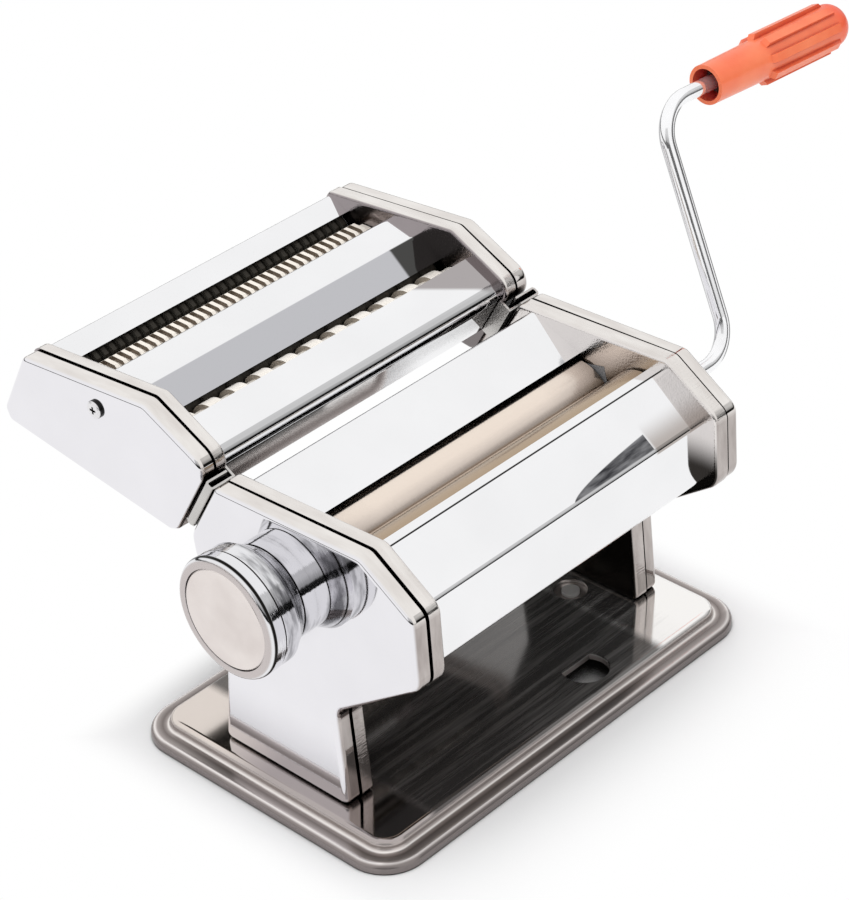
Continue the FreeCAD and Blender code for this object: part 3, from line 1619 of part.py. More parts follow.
def cutters():
    depths = (S.cutter_addendum, S.cutter_dedendum)
    for name, pair, pitch, rings, sides in cutter_pairs():
        crank_socket(name + "_socket", pair[0])
        for rear, place in enumerate(pair):
            end = "rear" if rear else "front"
            cutter_roller("%s_cutter_%s" % (name, end), place, pitch, rings, sides, rear)
            turn = as_size(0) if rear else 180 / S.cutter_teeth
            gear(
                "%s_gear_%s" % (name, end), S.cutter_teeth, S.cutter_spacing, depths, S.cutter_backlash,
                S.cutter_journal, S.cutter_gear_start, S.cutter_gear_width, place, turn,
            )
            comb("%s_comb_%s" % (name, end), place, pitch, rings, rear)


def machine():
    base_tray()
    feet_and_screws()
    for name, side in SIDES:
        inner_plate("inner_plate_" + name, side)
        side_cover("side_cover_" + name, side)
        rail("rail_" + name, side)
    joined("bearing_blocks", [bearing_block("bearing_block_" + name, side) for name, side in SIDES])
    drive_roller()
    adjust_roller()
    adjust_axle()
    drive_bushings()
    axle_bushings()
    roller_gears()
    index_ring()
    knob()
    knob_fittings()
    tie_rods("tie_rods", RODS, S.rod_radius, S.rod_end_radius, COVER_FACE - S.sheet)
    scraper_rods()
    scrapers()
    rear_guide()
    front_guide()
    crank()
    grip()
    grip_washer()


def cutter_head():
    for name, side in SIDES:
        head_plate("head_plate_" + name, side)
        head_cover("head_cover_" + name, side)
    joined("tongues", [tongue("tongue_" + name, side) for name, side in SIDES])
    nose_guard()
    ridge()
    tail_guard()
    tie_rods("head_rods", HEAD_RODS, S.head_rod_radius, S.head_rod_end, HEAD_FACE - S.sheet)
    head_fixings()
    cutter_bushings()
    cutters()


def check_and_write():
    """Stop on any failed object, then write each sub-part to its own file."""
    doc.recompute()
    failed = [item.Name for item in doc.Objects if "Invalid" in item.State or "Error" in item.State]
    bad = [item.Label for item in subparts if item.Shape.isNull() or not item.Shape.isValid()]
    if failed or bad:
        raise RuntimeError("failed objects %s, bad shapes %s" % (failed, bad))
    os.makedirs("parts", exist_ok=True)
    for item in subparts:
        item.Shape.exportStep(os.path.join("parts", item.Label + ".step"))
    print("%d sub-parts written" % len(subparts))


machine()
cutter_head()
check_and_write()
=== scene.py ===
import math

import bmesh
import bpy
from mathutils import Matrix, Vector


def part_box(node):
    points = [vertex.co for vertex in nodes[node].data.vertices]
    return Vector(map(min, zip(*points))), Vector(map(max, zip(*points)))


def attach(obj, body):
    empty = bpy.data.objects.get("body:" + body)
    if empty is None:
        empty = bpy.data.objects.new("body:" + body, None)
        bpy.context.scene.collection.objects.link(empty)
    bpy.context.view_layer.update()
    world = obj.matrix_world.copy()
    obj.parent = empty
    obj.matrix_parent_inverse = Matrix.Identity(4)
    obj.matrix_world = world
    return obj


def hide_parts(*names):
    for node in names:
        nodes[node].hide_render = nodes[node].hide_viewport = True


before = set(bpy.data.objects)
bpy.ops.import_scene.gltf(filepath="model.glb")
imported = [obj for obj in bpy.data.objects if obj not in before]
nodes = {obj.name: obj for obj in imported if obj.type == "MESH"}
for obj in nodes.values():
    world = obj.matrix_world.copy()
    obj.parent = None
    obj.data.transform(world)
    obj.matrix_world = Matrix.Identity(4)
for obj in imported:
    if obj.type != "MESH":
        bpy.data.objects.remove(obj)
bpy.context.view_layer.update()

# Painted shade: the dark that metal shows deep inside gaps and hollows, laid into the colour, and used for
# painted dark lines too
PAINTED_DARK = (0.012, 0.011, 0.010)


# Shader expressions

class Value:
    """A socket of one finish, used in arithmetic; each sum or product adds its Math node."""

    def __init__(self, finish, socket):
        self.finish = finish
        self.socket = socket

    def math(self, operation, *others):
        made = self.finish.node("Math", {"operation": operation}, dict(enumerate((self, *others))))
        return Value(self.finish, made.outputs[0])

    def __add__(self, other):
        return self.math("ADD", other)

    __radd__ = __add__

    def __sub__(self, other):
        return self.math("SUBTRACT", other)

    def __rsub__(self, other):
        return self.math("MULTIPLY", -1.0) + other

    def __mul__(self, other):
        return self.math("MULTIPLY", other)

    __rmul__ = __mul__

    def __truediv__(self, other):
        return self.math("DIVIDE", other)

    def __pow__(self, other):
        return self.math("POWER", other)

    def clear(self):
        """The same value, held between 0 and 1."""
        held = self + 0.0
        held.socket.node.use_clamp = True
        return held

    def band(self, low, high):
        """0 below low, 1 above high, smooth between."""
        made = self.finish.node(
            "MapRange", {"interpolation_type": "SMOOTHSTEP"},
            {"Value": self, "From Min": low, "From Max": high},
        )
        return Value(self.finish, made.outputs[0])

    def within(self, low, high, soft):
        """1 between two places, with soft ends."""
        return self.band(low - soft, low + soft) * (1 - self.band(high - soft, high + soft))


class Finish:
    """A node tree of one material or of the world."""

    def __init__(self, owner):
        owner.use_nodes = True
        self.owner = owner
        self.tree = owner.node_tree
        self.tree.nodes.clear()

    def node(self, kind, settings=None, inputs=None):
        """Adds one node. Its settings come first, then the values or links of its sockets."""
        made = self.tree.nodes.new("ShaderNode" + kind)
        for name, value in (settings or {}).items():
            if name == "stops":
                self.set_stops(made.color_ramp, value)
            else:
                setattr(made, name, value)
        for name, value in (inputs or {}).items():
            self.feed(made.inputs[name], value)
        return made

    def set_stops(self, ramp, stops):
        while len(ramp.elements) < len(stops):
            ramp.elements.new(0.5)
        for element, (place, colour) in zip(ramp.elements, stops):
            element.position = place
            element.color = (*colour, 1.0)

    def feed(self, socket, value):
        if isinstance(value, Value):
            self.tree.links.new(value.socket, socket)
        elif isinstance(value, bpy.types.NodeSocket):
            self.tree.links.new(value, socket)
        elif isinstance(value, tuple) and len(value) == 3 and socket.type == "RGBA":
            socket.default_value = (*value, 1.0)
        else:
            socket.default_value = value

    def place(self, origin=(0, 0, 0), stretch=(1, 1, 1)):
        """Where the surface point is, measured from origin and stretched along the axes."""
        here = self.node("TexCoord").outputs["Object"]
        moved = self.node("VectorMath", {"operation": "SUBTRACT"}, {0: here, 1: origin}).outputs[0]
        return self.node("Mapping", {}, {"Vector": moved, "Scale": stretch}).outputs[0]

    def noise(self, where, scale, detail=2.0, roughness=0.5):
        inputs = {"Vector": where, "Scale": scale, "Detail": detail, "Roughness": roughness}
        return Value(self, self.node("TexNoise", {}, inputs).outputs[0])

    def part(self, where, axis):
        """One coordinate of a place as a value."""
        return Value(self, self.node("SeparateXYZ", {}, {0: where}).outputs[axis])

    def length(self, where):
        made = self.node("VectorMath", {"operation": "LENGTH"}, {0: where})
        return Value(self, made.outputs["Value"])

    def colours(self, value, *stops):
        made = self.node("ValToRGB", {"stops": stops}, {0: value})
        return made.outputs[0]

    def between(self, amount, one, other):
        inputs = {"Factor": amount, "A": one, "B": other}
        made = self.tree.nodes.new("ShaderNodeMix")
        made.data_type = "RGBA"
        chosen = {s.name: s for s in made.inputs if s.enabled}
        for name, value in inputs.items():
            self.feed(chosen[name], value)
        return next(s for s in made.outputs if s.enabled)

    def openness(self, reach):
        """1 where the surface is open, down to 0 inside gaps and hollows narrower than reach."""
        made = self.node("AmbientOcclusion", {"samples": 8}, {"Distance": reach})
        return Value(self, made.outputs["AO"])

    def normal(self, axis):
        """How much the surface faces along one axis of the machine, with its sign."""
        return self.part(self.node("NewGeometry").outputs["Normal"], axis)

    def facing(self, axis):
        return self.normal(axis).math("ABSOLUTE")

    def painted_hollow_shade(self, tint, reach=0.03, low=0.12, high=0.42, dark=PAINTED_DARK):
        """Painted shade: the tint on open faces, going to the dark of a hollow where little light gets in.
        """
        return self.between(self.openness(reach).band(low, high), dark, tint)

    def bump(self, height, depth):
        return self.node("Bump", {}, {"Height": height, "Distance": depth}).outputs[0]

    def coated(self, colour, roughness, normal, metallic=0.0, **more):
        """Closes a material with its one shader."""
        inputs = {"Base Color": colour, "Roughness": roughness, "Metallic": metallic, "Normal": normal}
        inputs.update({name.replace("_", " "): value for name, value in more.items()})
        shader = self.node("BsdfPrincipled", {}, inputs)
        self.node("OutputMaterial", {}, {"Surface": shader.outputs[0]})
        return self.owner


def finish(name):
    return Finish(bpy.data.materials.new(name))


# Finishes of the machine

def darker(colour, share):
    return tuple(part * share for part in colour)


SHEET_BRIGHT = (0.90, 0.90, 0.91)


def sheet_steel(name, shade=None, colour=SHEET_BRIGHT, roughness=0.04, smudge=0.04, wave=0.2):
    """Polished sheet: faint smudges, hairline polishing marks, a slightly uneven face, and painted shade in
    its hollows.

    A shade, where given, lays the painted reflections and painted shade of one piece over the colour of the
    sheet.
    """
    f = finish(name)
    here = f.place()
    cloud = f.noise(here, 28.0, 3.0)
    hair = f.noise(f.place(stretch=(6, 240, 240)), 30.0, 2.0)
    swell = f.noise(here, 14.0, 1.0)
    tint = f.colours(cloud, (0.3, darker(colour, 0.96)), (0.7, colour))
    if shade:
        tint = shade(f, tint, *(f.part(here, axis) for axis in range(3)))
    tint = f.painted_hollow_shade(tint)
    rough = roughness + cloud.band(0.45, 0.75) * smudge + hair * 0.02
    height = swell * wave + hair * 0.002
    return f.coated(tint, rough, f.bump(height, 0.0006), metallic=1.0)


def rim_painted_light(f):
    """Folded edges, with painted reflection: cream where they face up, browner where they stand, a little
    uneven.
    """
    cloud = f.noise(f.place(stretch=(4, 1, 1)), 60.0, 3.0)
    stood = f.colours(cloud, (0.3, (0.34, 0.30, 0.285)), (0.7, (0.50, 0.455, 0.435)))
    flat = f.colours(cloud, (0.3, (0.72, 0.68, 0.65)), (0.7, (0.84, 0.81, 0.78)))
    return f.between(f.normal(2).band(-0.1, 0.6), stood, flat)


def cover_shade(f, tint, x, y, z):
    """The flat sides keep the sheet's colour, and the folds between them get the painted reflection of rims.
    """
    return f.between(f.facing(0).band(0.35, 0.8), rim_painted_light(f), tint)


# Where the painted dark reflection at the crank end of the ridge's front leaf starts and is full, in metres
RIDGE_DARK_X = (0.0575, 0.059)


def ridge_shade(f, tint, x, y, z):
    """Painted reflections: the front leaf is greyer than the top, and dark at its crank end."""
    front = 1 - f.normal(1).band(-0.35, -0.15)
    leaf = f.between(x.band(*RIDGE_DARK_X), (0.52, 0.52, 0.545), (0.065, 0.064, 0.062))
    return f.between(front, tint, leaf)


# The soft edge of the guard's patch of painted reflection, in metres, where the guard's front is. For each
# metre further back it lies this many metres nearer to the knob
GUARD_PATCH_X = (0.052, 0.056)
GUARD_FRONT_Y, PATCH_SLANT = 0.045, 1.9


def guard_shade(f, tint, x, y, z):
    """The front guard has a painted grey reflection in a slanted patch at its crank end."""
    along = x + PATCH_SLANT * (y - GUARD_FRONT_Y)
    patch = along.band(*GUARD_PATCH_X) * f.normal(2).band(0.5, 0.7)
    return f.between(patch * 0.9, tint, (0.36, 0.33, 0.33))


# Painted shade and reflections on the apron, in metres: the dark crease below its lip, and on the leaf above
# its fold a dark lens and a brown patch of painted reflection, which are measured back from the fold
CREASE_Y, CREASE_Z = (-0.0466, -0.0457), (0.115, 0.116)
FOLD_Y, ABOVE_FOLD_Z = -0.0665, (0.1070, 0.1075)
LENS_X, LENS_FRONT, LENS_DEPTH, LENS_CURVE = (0.004, 0.050), 0.0009, 0.0066, 0.45
PATCH_X, PATCH_BACK = (0.0495, 0.0515), (0.001, 0.011)
SHARP = 0.0004


def apron_lens(x, back):
    """1 inside the lens of painted reflection, which starts in a point and widens towards the crank end."""
    start, end = LENS_X
    along = ((x - start) / (end - start)).clear() ** LENS_CURVE
    ahead = 1 - (back - along * LENS_DEPTH).band(0.0, SHARP)
    ended = 1 - x.band(end - SHARP / 2, end + SHARP / 2)
    return back.band(LENS_FRONT, LENS_FRONT + SHARP) * ahead * ended


def apron_shade(f, tint, x, y, z):
    """Painted shade in the crease below the lip; above the fold, a dark lens and a brown patch of painted
    reflection.
    """
    crease = y.within(*CREASE_Y, SHARP / 4) * z.band(*CREASE_Z)
    back = y - FOLD_Y
    upper_leaf = z.band(*ABOVE_FOLD_Z)
    patch = x.band(*PATCH_X) * (1 - back.band(*PATCH_BACK)) * upper_leaf
    lens = apron_lens(x, back) * upper_leaf
    # The painted reflection in the lens: dark with lighter streaks
    streak = f.noise(f.place(stretch=(1, 6, 6)), 90.0, 3.0)
    inside = f.colours(streak, (0.35, (0.04, 0.04, 0.045)), (0.72, (0.24, 0.24, 0.25)))
    tint = f.between(patch * 0.75, tint, (0.33, 0.275, 0.24))
    tint = f.between(lens, tint, inside)
    return f.between(crease, tint, PAINTED_DARK)


# The tray, in metres. A pair gives where something starts and where it ends or is full
TRAY_CORNER = 0.0175
RIM_WIDTH = 0.009
RIM_FRONT_Y = (-0.0625, -0.0605)
RIM_STEP_Z = (0.0072, 0.0084)
RAISED_Z = (0.0078, 0.0084)
# Where the painted reflections on the tray turn from grey to cream, and where the painted shade between the
# legs lies
CREAM_X = (-0.07, 0.085)
CREAM_Y = (0.0, 0.035)
LEGS_X = (-0.070, 0.076)
SHADED_X = (-0.072, 0.060)
SHADED_Y = (-0.0618, -0.0602)


def inward(f, x, y):
    """How far a place on the tray lies from its outer edge, which turns round corners."""
    _, (high_x, high_y, _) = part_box("base_tray")
    past_x = (x.math("ABSOLUTE") - (high_x - TRAY_CORNER)).math("MAXIMUM", 0.0)
    past_y = (y.math("ABSOLUTE") - (high_y - TRAY_CORNER)).math("MAXIMUM", 0.0)
    return TRAY_CORNER - (past_x * past_x + past_y * past_y) ** 0.5


def rim_bands(f, x, y):
    """Painted highlights and shade: light and dark lines that run along the rim, darker on the front side.
    """
    bands = f.colours(
        inward(f, x, y) / RIM_WIDTH, (0.0, (0.24, 0.21, 0.205)), (0.09, (0.27, 0.235, 0.225)),
        (0.18, (0.90, 0.85, 0.83)), (0.29, (0.42, 0.375, 0.36)), (0.54, (0.20, 0.17, 0.16)),
        (0.70, (0.40, 0.355, 0.34)), (0.79, (0.90, 0.85, 0.82)), (0.88, (0.47, 0.42, 0.40)),
    )
    ahead = 1 - y.band(*RIM_FRONT_Y)
    return f.between(ahead * 0.3, bands, (0.16, 0.14, 0.135))


def tray_shade(f, x, y, z):
    """Painted reflections, grey at the front of the knob end, cream behind that and at the crank end, and
    painted highlights and shade along the rim.
    """
    knob_end = f.between(y.band(*CREAM_Y), (0.43, 0.385, 0.375), (0.72, 0.65, 0.60))
    tint = f.between(x.band(*CREAM_X), knob_end, (0.92, 0.90, 0.88))
    return f.between(1 - z.band(*RIM_STEP_Z), tint, rim_bands(f, x, y))


def tray_steel(name, roughness):
    """Polished tray with a satin rim, painted reflections and highlights, painted shade between the legs,
    and there long streaks of painted reflection where it is less metallic.
    """
    f = finish(name)
    x, y, z = (f.part(f.place(), axis) for axis in range(3))
    cloud = f.noise(f.place(), 28.0, 3.0)
    swell = f.noise(f.place(), 14.0, 1.0)
    tint = f.painted_hollow_shade(tray_shade(f, x, y, z))
    raised = z.band(*RAISED_Z)
    between_legs = x.within(*LEGS_X, 0.004) * raised
    streak = f.noise(f.place(stretch=(0.6, 16, 1)), 22.0, 4.0, 0.65).band(0.42, 0.72)
    # Painted shade: near black where the machine stands over the tray
    shaded = x.within(*SHADED_X, 0.003) * raised * y.band(*SHADED_Y)
    tint = f.between(shaded * 0.85, tint, (0.05, 0.047, 0.045))
    satin = 1 - raised
    # Long streaks of painted reflection, where less of the sheet is metal
    diffuse_share = between_legs * (streak * 0.12 + 0.035) + shaded * (streak * 0.35 + 0.2) + satin * 0.3
    rough = roughness + cloud.band(0.45, 0.75) * 0.04 + satin * 0.15
    return f.coated(tint, rough, f.bump(swell * 0.2, 0.0006), metallic=1 - diffuse_share)


def plate_steel(name, colour, inside, dark_to, bright_from):
    """Inner plate: bright folded rim of painted reflection, and an inside face painted dark below for shade
    and bright above, with painted shade in hollows.
    """
    f = finish(name)
    here = f.place()
    grain = f.noise(f.place(stretch=(1, 8, 8)), 180.0, 4.0)
    cloud = f.noise(here, 40.0, 2.0)
    tint = f.colours(cloud, (0.3, darker(colour, 0.93)), (0.75, colour))
    face = f.facing(0).band(0.5, 0.8)
    tint = f.between(face, rim_painted_light(f), tint)
    tint = f.between(face * (1 - f.part(here, 2).band(dark_to, bright_from)), tint, inside)
    tint = f.painted_hollow_shade(tint)
    return f.coated(tint, 0.1 + grain * 0.1, f.bump(grain, 0.00008), metallic=1.0)


def satin_steel(name, colour, roughness):
    """Steel that was ground or plated and not polished, with painted shade in its hollows."""
    f = finish(name)
    grain = f.noise(f.place(stretch=(1, 8, 8)), 180.0, 4.0)
    cloud = f.noise(f.place(), 40.0, 2.0)
    tint = f.colours(cloud, (0.3, darker(colour, 0.84)), (0.75, colour))
    tint = f.painted_hollow_shade(tint, low=0.15, high=0.5)
    return f.coated(tint, roughness + grain * 0.12, f.bump(grain, 0.0001), metallic=1.0)


def ringed(name, ring, wall, groove, roughness=0.3, metallic=0.3):
    """Turned cutter: one tint on the rings, and painted shade on their side walls and down in the grooves.
    """
    f = finish(name)
    grain = f.noise(f.place(stretch=(1, 8, 8)), 180.0, 4.0)
    tint = f.colours(f.openness(0.004), (0.05, darker(wall, 0.3)), (0.3, groove), (0.5, ring))
    tint = f.between(f.facing(0).band(0.6, 0.8), tint, wall)
    return f.coated(tint, roughness + grain * 0.1, f.bump(grain, 0.0001), metallic=metallic)


def roller_finish(name, cream, beige):
    """Turned alloy, paler in the open, with painted shade browner and darker towards the gap between the
    rollers.
    """
    f = finish(name)
    lines = f.noise(f.place(stretch=(1, 0.02, 0.02)), 900.0, 3.0, 0.7)
    along = f.noise(f.place(stretch=(1, 30, 30)), 18.0, 2.0)
    light = f.openness(0.03) + along * 0.06
    tint = f.colours(
        light, (0.18, (0.02, 0.014, 0.01)), (0.40, (0.28, 0.22, 0.17)),
        (0.58, darker(beige, 0.85)), (0.74, beige), (0.84, cream),
    )
    return f.coated(tint, 0.16 + lines * 0.05, f.bump(lines, 0.00003), metallic=1.0)


def crank_chrome():
    """Bright plate on the rod, with a painted dark reflection line down its right side and a painted grey
    one down its left.
    """
    f = finish("crank_chrome")
    cloud = f.noise(f.place(), 70.0, 3.0)
    fine = f.noise(f.place(), 1400.0, 2.0)
    tint = f.colours(cloud, (0.3, (0.88, 0.88, 0.89)), (0.7, (0.96, 0.96, 0.97)))
    across = (f.normal(0) - f.normal(1)) * math.sqrt(0.5)
    right_line = across.band(0.80, 0.86)
    left_line = 1 - across.band(-0.93, -0.80)
    tint = f.between(right_line, tint, (0.07, 0.07, 0.07))
    tint = f.between(left_line, tint, (0.45, 0.45, 0.46))
    rough = 0.04 + cloud.band(0.5, 0.8) * 0.04 + fine * 0.02
    return f.coated(tint, rough, f.bump(cloud, 0.00005), metallic=0.85)


# Painted dark reflection lines and the mottled part round the knob, measured back from its face, each with
# its soft edge
KNOB_LINES = [(0.0012, 0.0024, 0.0002), (0.0150, 0.0156, 0.0001), (0.0205, 0.0211, 0.0001)]
KNOB_MOTTLED = (0.0065, 0.034, 0.002)


def knob_chrome(face, centre):
    """Plate of the knob: satin ring round the cap, then dark and bright rings with mottled marks, the dark
    rings painted reflections, and painted shade in hollows.
    """
    f = finish("knob_chrome")
    x = f.part(f.place((face, 0, 0)), 0)
    mottle = f.noise(f.place(centre, (2.2, 0.45, 0.45)), 80.0, 4.0, 0.6)
    fine = f.noise(f.place(centre), 1400.0, 2.0)
    side = 1 - f.facing(0).band(0.75, 0.95)
    spots = mottle.band(0.42, 0.68) * x.within(*KNOB_MOTTLED) * 0.9
    rings = sum(x.within(*line) for line in KNOB_LINES)
    tint = f.between(spots * side, (0.80, 0.80, 0.82), (0.10, 0.10, 0.11))
    tint = f.between((rings * side).clear(), tint, PAINTED_DARK)
    tint = f.between(side, (0.58, 0.53, 0.52), tint)
    tint = f.painted_hollow_shade(tint, 0.003, 0.15, 0.5)
    rough = 0.05 + mottle * 0.04 + fine * 0.02 + (1 - side) * 0.2
    return f.coated(tint, rough, f.bump(mottle, 0.0002), metallic=1.0)


def knob_face(centre):
    """Round face brushed in circles, a little cloudy, with a pink cast."""
    f = finish("knob_face_brushed")
    radius = f.length(f.place(centre, (0, 1, 1)))
    ring = f.node("CombineXYZ", {}, {0: radius}).outputs[0]
    marks = f.noise(ring, 2600.0, 2.0, 0.6)
    cloud = f.noise(f.place(centre), 45.0, 3.0)
    tint = f.colours(cloud, (0.25, (0.70, 0.635, 0.61)), (0.75, (0.88, 0.82, 0.79)))
    return f.coated(tint, 0.26 + marks * 0.12, f.bump(marks, 0.00006), metallic=1.0)


def grip_plastic():
    """Glossy moulded plastic, redder at its round end, with painted shade darker red inside its mouth and
    round the roots of its ribs.
    """
    f = finish("grip_plastic_orange")
    x = f.part(f.place(), 0)
    cloud = f.noise(f.place(), 55.0, 3.0)
    pores = f.noise(f.place(), 1600.0, 2.0)
    start, end = (corner[0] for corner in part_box("grip"))
    round_end = x.band(end - 0.016, end - 0.002) * 0.7
    # Painted shade: deep red inside the mouth, where little light gets in
    mouth = x.band(start + 0.012, start + 0.002) * (1 - f.openness(0.006).band(0.3, 0.7))
    tint = f.colours(cloud, (0.3, (0.88, 0.16, 0.06)), (0.7, (0.95, 0.235, 0.10)))
    tint = f.between(round_end, tint, (0.80, 0.055, 0.02))
    tint = f.painted_hollow_shade(tint, 0.005, 0.45, 0.9, (0.50, 0.045, 0.02))
    tint = f.between(mouth, tint, (0.75, 0.03, 0.045))
    rough = 0.28 + cloud * 0.12
    return f.coated(tint, rough, f.bump(pores, 0.00004), Coat_Weight=0.2, Coat_Roughness=0.15)


def dull_finish(name, colour, roughness):
    """Moulded plastic, rubber and matt plated screws: an even colour with a fine grain."""
    f = finish(name)
    grain = f.noise(f.place(), 900.0, 3.0)
    cloud = f.noise(f.place(), 60.0, 2.0)
    tint = f.colours(cloud, (0.3, darker(colour, 0.8)), (0.7, colour))
    return f.coated(tint, roughness + grain * 0.12, f.bump(grain, 0.00008))


def paint(material, *names):
    for name in names:
        mesh = nodes[name].data
        mesh.materials.clear()
        mesh.materials.append(material)


def finish_sheets():
    guard = sheet_steel("sheet_guard", guard_shade, roughness=0.02, smudge=0.02, wave=0.08)
    cover = sheet_steel(
        "sheet_cover", cover_shade, colour=(0.84, 0.83, 0.86), roughness=0.02, smudge=0.03, wave=0.1,
    )
    paint(sheet_steel("sheet_panel"), "rear_guide", "head_rear_guard")
    paint(sheet_steel("sheet_apron", apron_shade), "front_guide")
    paint(sheet_steel("sheet_ridge", ridge_shade), "head_middle_ridge")
    paint(guard, "head_front_guard")
    paint(cover, "side_cover_left", "side_cover_right", "head_cover_left", "head_cover_right")
    paint(tray_steel("sheet_tray", roughness=0.07), "base_tray")


def finish_plates():
    inner = plate_steel(
        "steel_inner_plate", colour=(0.80, 0.76, 0.74), inside=(0.03, 0.026, 0.023),
        dark_to=0.088, bright_from=0.104,
    )
    # Painted shade: the head plates are the same steel as the inner plates, given a darker colour
    head_inner = plate_steel(
        "steel_head_plate", colour=(0.36, 0.32, 0.325), inside=(0.2, 0.18, 0.18),
        dark_to=0.118, bright_from=0.130,
    )
    paint(inner, "inner_plate_left", "inner_plate_right")
    paint(head_inner, "head_plate_left", "head_plate_right")


def finish_rollers():
    narrow = ringed(
        "cutter_cream", ring=(0.90, 0.84, 0.76), wall=(0.20, 0.155, 0.115), groove=(0.62, 0.55, 0.46),
    )
    wide = ringed(
        "cutter_pale", ring=(0.92, 0.87, 0.80), wall=(0.45, 0.395, 0.33), groove=(0.84, 0.78, 0.70),
    )
    # Painted shade: the rear cutters are the same steel as the front ones, painted near black for the shade
    # they turn in
    rear_cutter_shade = ringed(
        "cutter_dark", ring=(0.028, 0.024, 0.018), wall=(0.16, 0.15, 0.13), groove=(0.02, 0.018, 0.015),
        roughness=0.35, metallic=0.6,
    )
    # Painted shade: the drive roller is the same alloy as the adjusting roller, painted darker and browner
    rear = roller_finish("roller_rear", cream=(0.87, 0.76, 0.665), beige=(0.61, 0.53, 0.475))
    front = roller_finish("roller_front", cream=(0.44, 0.335, 0.235), beige=(0.40, 0.30, 0.21))
    paint(narrow, "narrow_cutter_front")
    paint(wide, "wide_cutter_front")
    paint(rear_cutter_shade, "wide_cutter_rear", "narrow_cutter_rear")
    paint(rear, "adjust_roller")
    paint(front, "drive_roller")


def finish_knob_and_crank():
    (_, low_y, low_z), (_, high_y, high_z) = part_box("knob_cap")
    centre = (0, (low_y + high_y) / 2, (low_z + high_z) / 2)
    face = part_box("knob_body")[0][0]
    paint(knob_chrome(face, centre), "knob_body", "index_ring")
    paint(knob_face(centre), "knob_cap")
    paint(crank_chrome(), "crank_rod")
    paint(grip_plastic(), "grip")


def finish_works():
    """The bearings, gears, rods and small pieces in and under the sheets."""
    satin = satin_steel("steel_satin", (0.66, 0.64, 0.62), roughness=0.2)
    # Painted shade: the steel of the rods, posts, gears and combs is near black for the shade in and under
    # the sheets
    shade_dark = satin_steel("steel_shade_dark", (0.075, 0.07, 0.065), roughness=0.25)
    bearing = dull_finish("bearing_plastic", (0.30, 0.30, 0.31), roughness=0.4)
    # Painted shade: the scrapers are near black for the shade under the rollers
    scraper = dull_finish("scraper_plastic", (0.05, 0.05, 0.052), roughness=0.4)
    rubber = dull_finish("foot_rubber", (0.035, 0.034, 0.033), roughness=0.6)
    plated = dull_finish("screw_plated", (0.50, 0.49, 0.48), roughness=0.25)
    paint(
        satin, "rail_left", "rail_right", "tongues", "adjust_axle",
        "knob_washer", "knob_pin", "knob_spring", "grip_washer", "wide_socket", "narrow_socket",
    )
    paint(
        shade_dark, "tie_rods", "tie_rods_nuts", "scraper_rods", "head_rods", "head_rods_nuts", "head_posts",
        "drive_gear", "adjust_gear", "wide_gear_front", "wide_gear_rear", "narrow_gear_front",
        "narrow_gear_rear", "wide_comb_front", "wide_comb_rear", "narrow_comb_front", "narrow_comb_rear",
    )
    paint(bearing, "drive_bushings", "axle_bushings", "cutter_bushings", "bearing_blocks")
    paint(scraper, "front_scraper", "rear_scraper")
    paint(rubber, "base_feet")
    # Painted light: the base screws get a plain, non-metallic grey, lighter than their mirror plating would
    # look down on the tray
    paint(plated, "base_screws")


# Cross-recess screws, in metres

SCREW_SIDES = 48
RECESS_ARM, RECESS_HALF, RECESS_DEPTH = 0.0016, 0.00046, 0.0009
# Share of the head's radius, and depth below the head's top
SCREW_DOME = [(1.0, 0.0018), (1.0, 0.0009), (0.93, 0.0005), (0.8, 0.0002), (0.62, 0.00005)]


def screw_steel(y, z, radius):
    """Bright head, with painted shade dark round its wall and down in the recess."""
    f = finish("screw_steel")
    grain = f.noise(f.place(), 900.0, 2.0)
    away = f.length(f.place((0, y, z), (0, 1, 1)))
    wall = away.band(radius * 0.95, radius * 0.99)
    tint = f.between(wall, (0.80, 0.79, 0.80), (0.03, 0.03, 0.03))
    tint = f.painted_hollow_shade(tint, 0.0015, 0.3, 0.8)
    return f.coated(tint, 0.2 + grain * 0.1, f.bump(grain, 0.00005), metallic=1.0)


def circle(radius, x, y, z):
    turns = [2 * math.pi * k / SCREW_SIDES for k in range(SCREW_SIDES)]
    return [(x, y + radius * math.cos(turn), z + radius * math.sin(turn)) for turn in turns]


def cross(x, y, z):
    """The outline of the recess, corner by corner."""
    arm, half = RECESS_ARM, RECESS_HALF
    quarter = [(arm, -half), (arm, half), (half, half)]
    corners = []
    for _ in range(4):
        corners += quarter
        quarter = [(-b, a) for a, b in quarter]
    return [(x, y + a, z + b) for a, b in corners]


def join_rings(bm, one, other):
    for k in range(len(one)):
        after = (k + 1) % len(one)
        bm.faces.new((one[k], one[after], other[after], other[k]))


def screw_head(bm, side, outer, y, z, radius):
    """A domed head with a cross recess, in the place of one solid head."""
    rings = []
    for share, depth in SCREW_DOME:
        places = circle(radius * share, side * (outer - depth), y, z)
        rings.append([bm.verts.new(place) for place in places])
    bm.faces.new(rings[0])
    for one, other in zip(rings, rings[1:]):
        join_rings(bm, one, other)
    top = side * (outer - SCREW_DOME[-1][1])
    mouth = [bm.verts.new(place) for place in cross(top, y, z)]
    bottom = [bm.verts.new(place) for place in cross(top - side * RECESS_DEPTH, y, z)]
    join_rings(bm, mouth, bottom)
    bm.faces.new(bottom)
    borders = []
    for ring in (rings[-1], mouth):
        for k in range(len(ring)):
            pair = (ring[k - 1], ring[k])
            borders.append(bm.edges.get(pair) or bm.edges.new(pair))
    bmesh.ops.triangle_fill(bm, edges=borders, use_beauty=True)


